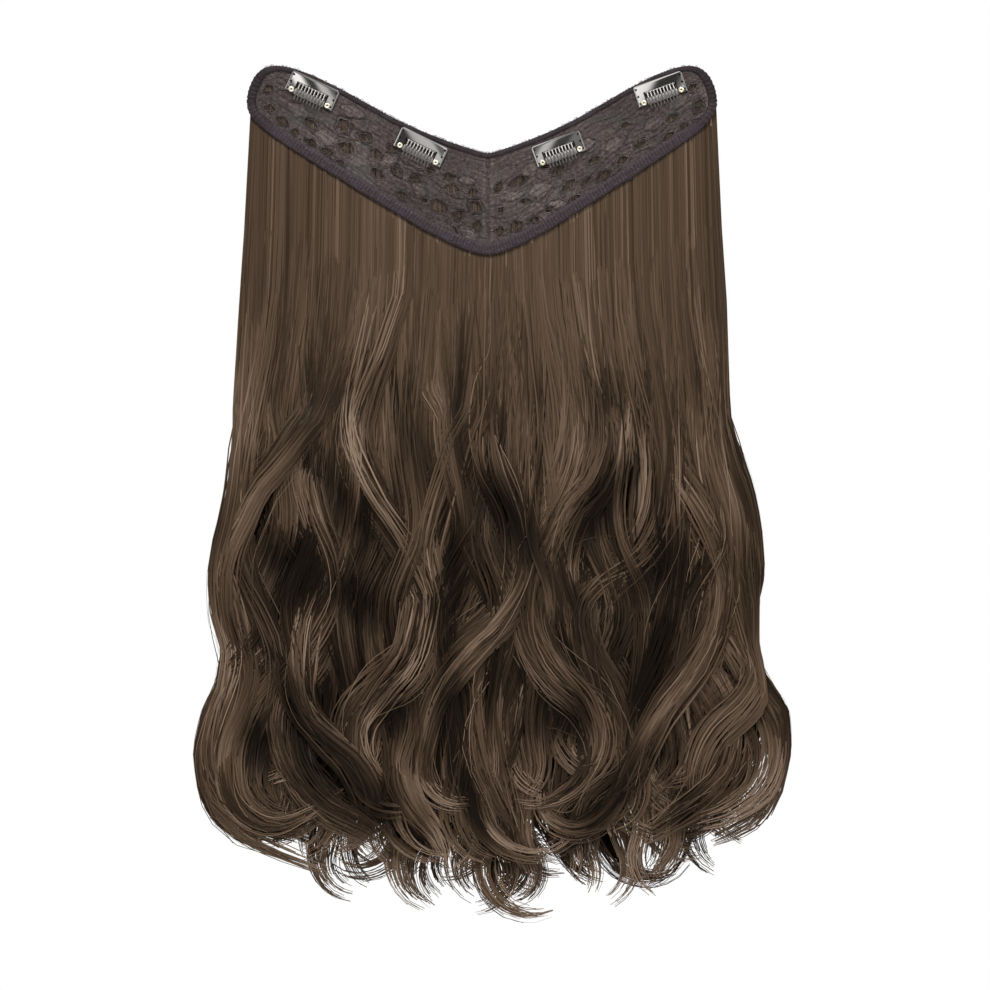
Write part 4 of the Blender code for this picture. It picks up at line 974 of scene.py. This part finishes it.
def laceThreads(material, rng):
    runs = []
    for leaf in lace["windows"]:
        _, _, _, axes = leafAxes(0.0, 0.0, leaf)
        halfLength = axes[2]
        for along in np.arange(-0.85 * halfLength, 0.86 * halfLength, 0.85 * mm):
            slant = 0.9 * mm
            near = leafHalf(along / halfLength, leaf)
            far = leafHalf(min(along + slant, halfLength) / halfLength, leaf)
            x, z = fromLeaf(np.array([along, along + slant / 2, along + slant]),
                            np.array([-near, 0.0, far]) + rng.normal(0, 0.1 * mm, 3), axes)
            runs.append((onLining(x, z, 0.0), 0.15 * mm, rng.uniform(0.45, 0.80), False))
    return tubes("laceThreads", runs, material, sides=3)


# Binding: a folded tape round the whole edge, gathered at the ends
binding = {
    "step": 0.55 * mm,
    "rounding": 3.0 * mm,
    "lowerWidth": 7.5 * mm,
    "upperWidth": 3.3 * mm,
    "endWidth": 5.6 * mm,
    "thickness": 3.4 * mm,
    "sides": 14,
    "twill": (2.2 * mm, 0.13 * mm),    # its pitch and height
    "gathers": (3.3 * mm, 0.42 * mm),
    "stitchRows": (2.1 * mm, 5.3 * mm),
    "stitchPitch": 2.7 * mm,
    "tones": (
        (0.00, (0.0080, 0.0055, 0.0065)),
        (0.40, (0.0400, 0.0285, 0.0335)),
        (0.65, (0.0820, 0.0610, 0.0700)),
        (1.00, (0.2300, 0.1950, 0.2050)),
    ),
}


def bandOutline(step, rounding):
    share = np.sin(np.linspace(0, math.pi / 2, 300))
    left, right = -share[::-1] * band["leftReach"], share[1:] * band["rightReach"]
    top = np.concatenate([left, right])
    low = np.concatenate([right[::-1][1:], -share * band["leftReach"]])[:-1]
    loop = np.concatenate([np.stack([top, topHeight(top)], axis=1), np.stack([low, bottomHeight(low)], axis=1)])
    closed = np.vstack([loop, loop[:1]])
    walked = np.concatenate([[0], np.cumsum(np.linalg.norm(np.diff(closed, axis=0), axis=1))])
    count = int(walked[-1] / step)
    even = np.linspace(0, walked[-1], count, endpoint=False)
    line = np.stack([np.interp(even, walked, closed[:, c]) for c in (0, 1)], axis=1)
    half = int(3 * rounding / step)
    bell = np.exp(-0.5 * (np.arange(-half, half + 1) * step / rounding) ** 2)
    bell /= bell.sum()
    padded = np.vstack([line[-half:], line, line[:half]])
    line = np.stack([np.convolve(padded[:, c], bell, mode="valid") for c in (0, 1)], axis=1)
    tangent = unit(np.roll(line, -1, axis=0) - np.roll(line, 1, axis=0))
    inward = np.stack([tangent[:, 1], -tangent[:, 0]], axis=1)
    lower = inward[:, 1] > 0
    return line, inward, lower, even


def bindingWidth(x, lower):
    share = alongArm(x)
    swell = np.clip((share - 0.86) / 0.12, 0, 1)
    swell = swell * swell * (3 - 2 * swell)
    upper = binding["upperWidth"] + (binding["endWidth"] - binding["upperWidth"]) * swell
    low = binding["lowerWidth"] + (binding["endWidth"] - binding["lowerWidth"]) * swell
    return np.where(lower, low, upper), swell


def bindingTape(material, rng):
    line, inward, lower, walked = bandOutline(binding["step"], binding["rounding"])
    width, swell = bindingWidth(line[:, 0], lower)
    half = 12
    width = np.convolve(np.concatenate([width[-half:], width, width[:half]]), np.ones(2 * half + 1) / (2 * half + 1),
                        mode="valid")
    turns = np.linspace(0, 2 * math.pi, binding["sides"], endpoint=False)
    across = np.sign(np.cos(turns)) * np.abs(np.cos(turns)) ** 0.75
    deep = np.sign(np.sin(turns)) * np.abs(np.sin(turns)) ** 0.70
    pitch, height = binding["twill"]
    fold, foldHeight = binding["gathers"]
    ridge = np.sin(2 * math.pi * (walked[:, None] / pitch + 0.9 * width[:, None] * across[None, :] / pitch))
    crease = np.abs(np.sin(math.pi * walked / fold + 0.8 * np.sin(walked / (11 * mm))))[:, None] * swell[:, None]
    roll = np.where(lower, 0.0, 0.30)[:, None] * np.sin(2 * math.pi * walked / (1.9 * mm))[:, None]
    lift = height * ridge * (1 - swell[:, None]) + foldHeight * (crease - 0.5 * swell[:, None]) + 0.25 * mm * roll
    lift = lift + 0.06 * mm * rng.normal(0, 1, lift.shape)
    wide = 0.5 * width[:, None] + lift
    thick = 0.5 * binding["thickness"] * (1 + 0.25 * swell[:, None]) + lift
    centre = line + inward * 0.5 * width[:, None]
    x = centre[:, 0, None] + inward[:, 0, None] * across[None, :] * wide
    z = centre[:, 1, None] + inward[:, 1, None] * across[None, :] * wide
    y = bowAt(x) + 0.5 * mm - deep[None, :] * thick
    # the valleys of the end gathers are darkened: painted shade in the creases
    tone = 0.50 + 0.11 * ridge * (1 - swell[:, None]) - 0.20 * (1 - crease) * swell[:, None]
    place = 0.5 * width[:, None] * (1 + across[None, :])
    for inset in binding["stitchRows"]:
        tone = tone - 0.16 * np.exp(-((place - inset) / (0.6 * mm)) ** 2) * lower[:, None]
    # darker toward the tape's outer lip: painted shade
    tone = tone - 0.16 * np.clip(-across, 0, 1)[None, :] ** 3 - np.where(lower, 0.0, 0.22)[:, None]
    index = np.arange(x.size).reshape(x.shape)
    around = np.concatenate([index, index[:, :1]], axis=1)
    around = np.concatenate([around, around[:1]], axis=0)
    faces = gridFaces(around, np.ones(np.array(around.shape) - 1, bool))
    piece = newMesh("edgeBinding", np.stack([x, y, z], axis=-1).reshape(-1, 3).tolist(), faces.tolist(), material)
    addTone(piece.data, np.broadcast_to(tone, x.shape))
    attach(piece, "band")
    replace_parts(piece, "edge_binding")
    return piece


def bindingStitches(material, rng):
    line, inward, lower, walked = bandOutline(binding["step"], binding["rounding"])
    every = round(binding["stitchPitch"] / binding["step"])
    runs = []
    for inset in binding["stitchRows"]:
        for k in range(0, len(line), every):
            share = float(alongArm(line[k, 0]))
            if lower[k] and share < 0.90:
                span = line[k:k + every - 1] + inward[k:k + every - 1] * inset
                if len(span) > 2:
                    bulge = 1.55 * mm + 0.30 * mm * np.sin(np.linspace(0, math.pi, len(span)))
                    runs.append((onLining(span[:, 0], span[:, 1], bulge - 0.5 * mm), 0.27 * mm,
                                 rng.uniform(0.50, 0.72), False))
    for k in range(0, len(line), 2):                   # picots and fluff on the rolled upper edge
        share = float(alongArm(line[k, 0]))
        if not lower[k] and share < 0.93:
            pale = -0.46 < line[k, 0] / band["leftReach"] < -0.30 or -0.26 < line[k, 0] / band["leftReach"] < 0.05
            if rng.random() < (0.75 if pale else 0.30):
                sweep = np.linspace(-0.3, math.pi + 0.3, 6)
                size = rng.uniform(0.35, 0.85) * mm
                tangent = np.array([inward[k, 1], -inward[k, 0]])
                spots = (line[k] + tangent * (size * np.cos(sweep))[:, None]
                         - inward[k] * (size * np.sin(sweep) - 0.1 * mm)[:, None])
                tone = rng.uniform(0.9, 1.2) if pale and rng.random() < 0.35 else rng.uniform(0.25, 0.7)
                runs.append((onLining(spots[:, 0], spots[:, 1], rng.uniform(-1.2, 1.0) * mm), 0.14 * mm, tone, False))
    return tubes("bindingStitches", runs, material, sides=4)


def buildBand():
    rng = np.random.default_rng(5)
    laceCloth = clothMaterial("laceCloth", lace["tones"], lace["tint"], 1.35, 0.13, 1.5 * mm)
    tapeCloth = clothMaterial("tapeCloth", binding["tones"], (0.058, 0.046, 0.056), 0.60, 0.0, 1.5 * mm)
    ground = laceGround(laceCloth, rng)
    cords = laceCords(laceCloth, rng)
    threads = laceThreads(laceCloth, rng)
    tape = bindingTape(tapeCloth, rng)
    bindingStitches(tapeCloth, rng)


# Clips: bowed chrome plates, combs of nine teeth over a soft sleeve, and pale eyelets
clip = {
    "seats": {                         # arm, along it, below the upper edge in heights, tilt in degrees
        "clip_1": (-1, 0.728, 0.74, -24.5),
        "clip_2": (-1, 0.278, 0.78, -25.5),
        "clip_3": (1, 0.308, 1.02, 20.0),
        "clip_4": (1, 0.751, 0.77, 19.0),
    },
    "length": 32.0 * mm,
    "height": 13.2 * mm,
    "strip": 5.3 * mm,
    "arm": 5.2 * mm,
    "corner": 1.8 * mm,
    "sheet": 0.5 * mm,
    "back": 1.6 * mm,                  # the plate's back, out of the lining
    "bow": 0.17 * mm,
    "cell": 0.38 * mm,
    "holes": (0.7 * mm, 1.5 * mm, 4.6 * mm),   # radius, inset and pitch
    "eyelets": (24.7 * mm, -4.9 * mm),         # spacing and height
    "sleeve": (20.0 * mm, 4.3 * mm, 2.4 * mm),
    "teeth": (9, 2.12 * mm, 0.95 * mm, 0.72 * mm),   # count, pitch, width and tip width
    "overhang": 3.0 * mm,
}


def clipFrame(seat):
    side, along, below, tilt = seat
    x = side * along * (band["leftReach"] if side < 0 else band["rightReach"])
    z = float(topHeight(np.array(x))) - below * clip["height"]
    slope = -2 * band["bow"] * x / band["leftReach"] ** 2
    level = unit(np.array([1.0, slope, 0.0]))
    outward = unit(np.array([slope, -1.0, 0.0]))
    angle = math.radians(tilt)
    u = level * math.cos(angle) + np.array([0.0, 0.0, 1.0]) * math.sin(angle)
    return np.stack([u, np.cross(outward, u), outward]), np.array([x, bowAt(x), z])


def clipMesh(name, points, faces, material, frameAxes, body, slotName, sharp=35):
    axes, origin = frameAxes
    placed = np.asarray(points) @ axes + origin
    piece = newMesh(name, placed.tolist(), faces, material)
    piece.data.set_sharp_from_angle(angle=math.radians(sharp))
    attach(piece, body)
    return piece


def platePieces():
    halfLength, halfHeight, window = clip["length"] / 2, clip["height"] / 2, clip["length"] / 2 - clip["arm"]
    cell, stripFoot = clip["cell"], clip["height"] / 2 - clip["strip"]
    u = np.concatenate([np.linspace(-halfLength, -window, int(clip["arm"] / cell) + 1),
                        np.linspace(-window, window, int(2 * window / cell) + 1)[1:-1],
                        np.linspace(window, halfLength, int(clip["arm"] / cell) + 1)])
    v = np.concatenate([np.linspace(-halfHeight, stripFoot, int((stripFoot + halfHeight) / cell) + 1),
                        np.linspace(stripFoot, halfHeight, int(clip["strip"] / cell) + 1)[1:]])
    gridU, gridV = np.meshgrid(u, v, indexing="ij")
    cornerU, cornerV = halfLength - clip["corner"], halfHeight - clip["corner"]
    outU, outV = np.abs(gridU) - cornerU, gridV - cornerV
    far = np.hypot(np.maximum(outU, 0), np.maximum(outV, 0))
    pull = np.where(far > clip["corner"], clip["corner"] / np.maximum(far, 1e-9), 1.0)
    rounded = (outU > 0) & (outV > 0)
    gridU, gridV = (np.where(rounded, np.sign(gridU) * (cornerU + outU * pull), gridU),
                    np.where(rounded, cornerV + outV * pull, gridV))
    radius, inset, pitch = clip["holes"]
    spacing, eyeletV = clip["eyelets"]
    holes = [(side * (halfLength - inset), eyeletV + row * pitch, radius) for side in (-1, 1) for row in range(3)]
    for holeU, holeV, hole in holes:
        away = np.hypot(gridU - holeU, gridV - holeV)
        near = np.abs(away - hole) < 0.62 * cell
        scale = np.where(near, hole / np.maximum(away, 1e-9), 1.0)
        gridU, gridV = holeU + (gridU - holeU) * scale, holeV + (gridV - holeV) * scale
    middleU = 0.25 * (gridU[:-1, :-1] + gridU[1:, :-1] + gridU[1:, 1:] + gridU[:-1, 1:])
    middleV = 0.25 * (gridV[:-1, :-1] + gridV[1:, :-1] + gridV[1:, 1:] + gridV[:-1, 1:])
    kept = ~((np.abs(middleU) < window) & (middleV < stripFoot))
    for holeU, holeV, hole in holes:
        kept &= np.hypot(middleU - holeU, middleV - holeV) > hole * 0.98
    bow = clip["bow"] * (1 - (gridU / halfLength) ** 2) + 0.10 * mm * (1 - (gridV / halfHeight) ** 2)
    rim = np.minimum(halfLength - np.abs(gridU), halfHeight - np.abs(gridV))
    front = clip["back"] + clip["sheet"] + bow - 0.10 * mm * np.clip(1 - rim / (0.5 * mm), 0, 1)
    back = clip["back"] + bow
    sheet = np.stack([gridU, gridV, front], axis=-1).reshape(-1, 3)
    under = np.stack([gridU, gridV, back], axis=-1).reshape(-1, 3)
    index = np.arange(gridU.size).reshape(gridU.shape)
    top = gridFaces(index, kept)
    edges = np.concatenate([top[:, [0, 1]], top[:, [1, 2]], top[:, [2, 3]], top[:, [3, 0]]])
    seen = {tuple(sorted(e)): 0 for e in edges.tolist()}
    for e in edges.tolist():
        seen[tuple(sorted(e))] += 1
    walls = [[a, b, b + len(sheet), a + len(sheet)][::-1] for a, b in edges.tolist() if seen[tuple(sorted((a, b)))] == 1]
    faces = top.tolist() + (top[:, ::-1] + len(sheet)).tolist() + walls
    return np.concatenate([sheet, under]), faces


def combPieces():
    count, pitch, width, tipWidth = clip["teeth"]
    _, eyeletV = clip["eyelets"]
    _, sleeveHeight, sleeveDepth = clip["sleeve"]
    crest = sleeveDepth + 0.85 * mm
    spineTop = clip["height"] / 2 - clip["strip"] - 0.3 * mm
    middle = clip["back"] + clip["sheet"] / 2
    run = np.array([(spineTop, middle), (spineTop - 0.6 * mm, middle + 0.15 * mm),
                    (eyeletV + sleeveHeight / 2 + 1.0 * mm, crest - 0.4 * mm), (eyeletV + sleeveHeight / 2, crest),
                    (eyeletV, crest + 0.1 * mm), (eyeletV - sleeveHeight / 2, crest),
                    (eyeletV - sleeveHeight / 2 - 0.6 * clip["overhang"], crest - 0.35 * mm),
                    (eyeletV - sleeveHeight / 2 - clip["overhang"], crest - 0.6 * mm)])
    line, _ = smoothCurve(run, 26)
    share = np.linspace(0, 1, len(line))
    halfWidth = 0.5 * np.interp(share, (0, 0.7, 0.94, 1.0), (width, width, tipWidth, 0.3 * tipWidth))
    halfThick = 0.5 * clip["sheet"] * np.interp(share, (0, 0.9, 1.0), (1.0, 0.9, 0.5))
    slope = unit(np.gradient(line, axis=0))
    lift = np.stack([-slope[:, 1], slope[:, 0]], axis=1)
    lift *= np.sign(lift[:, 1:2])
    turns = np.linspace(0, 2 * math.pi, 10, endpoint=False)
    across = np.sign(np.cos(turns)) * np.abs(np.cos(turns)) ** 0.6
    deep = np.sign(np.sin(turns)) * np.abs(np.sin(turns)) ** 0.8
    points, faces = [], []
    base = 0
    for k in range(count):
        u = (k - (count - 1) / 2) * pitch + across[None, :] * halfWidth[:, None]
        place = line[:, None] + lift[:, None] * (deep[None, :] * halfThick[:, None])[..., None]
        points.append(np.concatenate([u[..., None], place], axis=-1).reshape(-1, 3))
        index = base + np.arange(u.size).reshape(u.shape)
        around = np.concatenate([index, index[:, :1]], axis=1)
        faces += gridFaces(around, np.ones(np.array(around.shape) - 1, bool)).tolist()
        faces += [index[0].tolist(), index[-1][::-1].tolist()]
        base += u.size
    end = (count - 1) / 2 * pitch + 1.2 * mm
    stops = np.linspace(-end, end, 12)
    ring = np.stack([spineTop - 0.45 * mm + 0.45 * mm * across, middle + 0.25 * mm * deep], axis=1)
    spine = np.concatenate([np.repeat(stops[:, None, None], len(turns), axis=1),
                            np.repeat(ring[None], len(stops), axis=0)], axis=-1)
    index = base + np.arange(spine.shape[0] * spine.shape[1]).reshape(spine.shape[:2])
    around = np.concatenate([index, index[:, :1]], axis=1)
    faces += gridFaces(around, np.ones(np.array(around.shape) - 1, bool)).tolist()
    faces += [index[0].tolist(), index[-1][::-1].tolist()]
    return np.concatenate(points + [spine.reshape(-1, 3)]), faces


def turnedPieces(profile, middleU, middleV, sides=28):
    profile = np.asarray(profile)
    turns = np.linspace(0, 2 * math.pi, sides, endpoint=False)
    u = middleU + profile[:, 0, None] * np.cos(turns)[None, :]
    v = middleV + profile[:, 0, None] * np.sin(turns)[None, :]
    w = np.repeat(profile[:, 1, None], sides, axis=1)
    index = np.arange(u.size).reshape(u.shape)
    around = np.concatenate([index, index[:, :1]], axis=1)
    around = np.concatenate([around, around[:1]], axis=0)
    faces = gridFaces(around, np.ones(np.array(around.shape) - 1, bool))
    return np.stack([u, v, w], axis=-1).reshape(-1, 3), faces


def sleevePieces():
    length, height, depth = clip["sleeve"]
    _, eyeletV = clip["eyelets"]
    turns = np.linspace(0, 2 * math.pi, 28, endpoint=False)
    stops = np.concatenate([[-0.5, -0.5, -0.494], np.linspace(-0.48, 0.48, 30), [0.494, 0.5, 0.5]]) * length
    size = np.concatenate([[0.55, 0.88, 0.97], np.ones(30), [0.97, 0.88, 0.55]])
    u = np.repeat(stops[:, None], len(turns), axis=1)
    v = eyeletV + 0.5 * height * size[:, None] * np.cos(turns)[None, :]
    w = 0.3 * mm + 0.5 * depth + 0.5 * depth * size[:, None] * np.sin(turns)[None, :]
    index = np.arange(u.size).reshape(u.shape)
    around = np.concatenate([index, index[:, :1]], axis=1)
    faces = gridFaces(around, np.ones(np.array(around.shape) - 1, bool)).tolist()
    faces += [index[0].tolist(), index[-1][::-1].tolist()]
    return np.stack([u, v, w], axis=-1).reshape(-1, 3), faces


def steelMaterial(name, colour, low, high):
    material, tree, shader = newMaterial(name, low, 1.0)
    nodes, links = tree.nodes, tree.links
    place = nodes.new("ShaderNodeTexCoord")
    smudge = nodes.new("ShaderNodeTexNoise")
    smudge.inputs["Scale"].default_value = 160.0
    links.new(place.outputs["Object"], smudge.inputs["Vector"])
    rough = nodes.new("ShaderNodeMapRange")
    rough.inputs["To Min"].default_value = low
    rough.inputs["To Max"].default_value = high
    links.new(smudge.outputs["Fac"], rough.inputs["Value"])
    links.new(rough.outputs["Result"], shader.inputs["Roughness"])
    shader.inputs["Base Color"].default_value = (*colour, 1.0)
    return material


def sleeveMaterial():
    material, tree, shader = newMaterial("gripSleeve", 0.34)
    nodes, links = tree.nodes, tree.links
    place = nodes.new("ShaderNodeTexCoord")
    cloud = nodes.new("ShaderNodeTexNoise")
    cloud.inputs["Scale"].default_value = 260.0
    links.new(place.outputs["Object"], cloud.inputs["Vector"])
    ramp = addRamp(tree, ((0.3, (0.190, 0.180, 0.172)), (0.7, (0.290, 0.276, 0.264))))
    links.new(cloud.outputs["Fac"], ramp.inputs["Fac"])
    links.new(ramp.outputs["Color"], shader.inputs["Base Color"])
    shader.inputs["Transmission Weight"].default_value = 0.10
    shader.inputs["Subsurface Weight"].default_value = 0.1
    shader.inputs["Subsurface Radius"].default_value = (0.001, 0.001, 0.001)
    return material


def eyeletMaterial():
    material, tree, shader = newMaterial("paleBrass", 0.30, 0.35)
    nodes, links = tree.nodes, tree.links
    place = nodes.new("ShaderNodeTexCoord")
    wear = nodes.new("ShaderNodeTexNoise")
    wear.inputs["Scale"].default_value = 420.0
    links.new(place.outputs["Object"], wear.inputs["Vector"])
    ramp = addRamp(tree, ((0.3, (0.74, 0.66, 0.44)), (0.7, (0.93, 0.90, 0.78))))
    links.new(wear.outputs["Fac"], ramp.inputs["Fac"])
    links.new(ramp.outputs["Color"], shader.inputs["Base Color"])
    return material


def buildClips():
    steel = steelMaterial("polishedSteel", (0.90, 0.88, 0.86), 0.03, 0.06)
    toothSteel = steelMaterial("toothSteel", (0.205, 0.197, 0.188), 0.36, 0.50)
    rubber, brass = sleeveMaterial(), eyeletMaterial()
    # eyeletShade: a near-black disc in each eyelet, painted shade in its hole
    shade, _, shader = newMaterial("eyeletShade", 0.8)
    shader.inputs["Base Color"].default_value = (0.012, 0.009, 0.007, 1.0)
    plate, comb, sleeve = platePieces(), combPieces(), sleevePieces()
    front = clip["back"] + clip["sheet"] + 0.3 * mm
    turns = np.linspace(0, 2 * math.pi, 14, endpoint=False)
    ring = [((1.1 + 0.6 * math.cos(a)) * mm, front + (0.25 + 0.35 * math.sin(a)) * mm) for a in turns]
    spacing, eyeletV = clip["eyelets"]
    for name, seat in clip["seats"].items():
        axes = clipFrame(seat)
        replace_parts(clipMesh(name + "_plateBowed", *plate, steel, axes, "band", "polished_steel"), name + "_plate")
        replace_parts(clipMesh(name + "_teeth", *comb, toothSteel, axes, name + "_comb_body", "polished_steel"),
                    name + "_comb")
        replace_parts(clipMesh(name + "_softSleeve", *sleeve, rubber, axes, "band", "grip_sleeve"), name + "_sleeve")
        for sign, suffix in ((-1, "left"), (1, "right")):
            points, faces = turnedPieces(ring, sign * spacing / 2, eyeletV)
            around = np.linspace(0, 2 * math.pi, 20, endpoint=False)
            # the near-black disc in the eyelet's hole is painted shade
            inside = np.stack([sign * spacing / 2 + 0.7 * mm * np.cos(around), eyeletV + 0.7 * mm * np.sin(around),
                               0 * around + front + 0.06 * mm], axis=-1)
            floorFace = [list(range(len(points), len(points) + 20))]
            piece = clipMesh(f"{name}_ring_{suffix}", np.concatenate([points, inside]), faces.tolist() + floorFace,
                             brass, axes, "band", "pale_brass", 80)
            piece.data.materials.append(shade)
            piece.data.polygons[len(faces)].material_index = 1
            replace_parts(piece, f"{name}_eyelet_{suffix}")
        bar = bpy.data.objects[name + "_bar"]
        bar.data.materials.clear()
        bar.data.materials.append(steel)


print("stage: floor, surround, lamps and camera")
buildStage()
print("band: lace lining and binding")
buildBand()
print("clips: plates, combs, sleeves and eyelets")
buildClips()
print("hair: locks and strands")
buildHair()

for piece in bpy.context.scene.objects:
    if piece.type == "MESH" and not piece.hide_render:
        print(piece.name, sum(len(p.vertices) - 2 for p in piece.data.polygons))
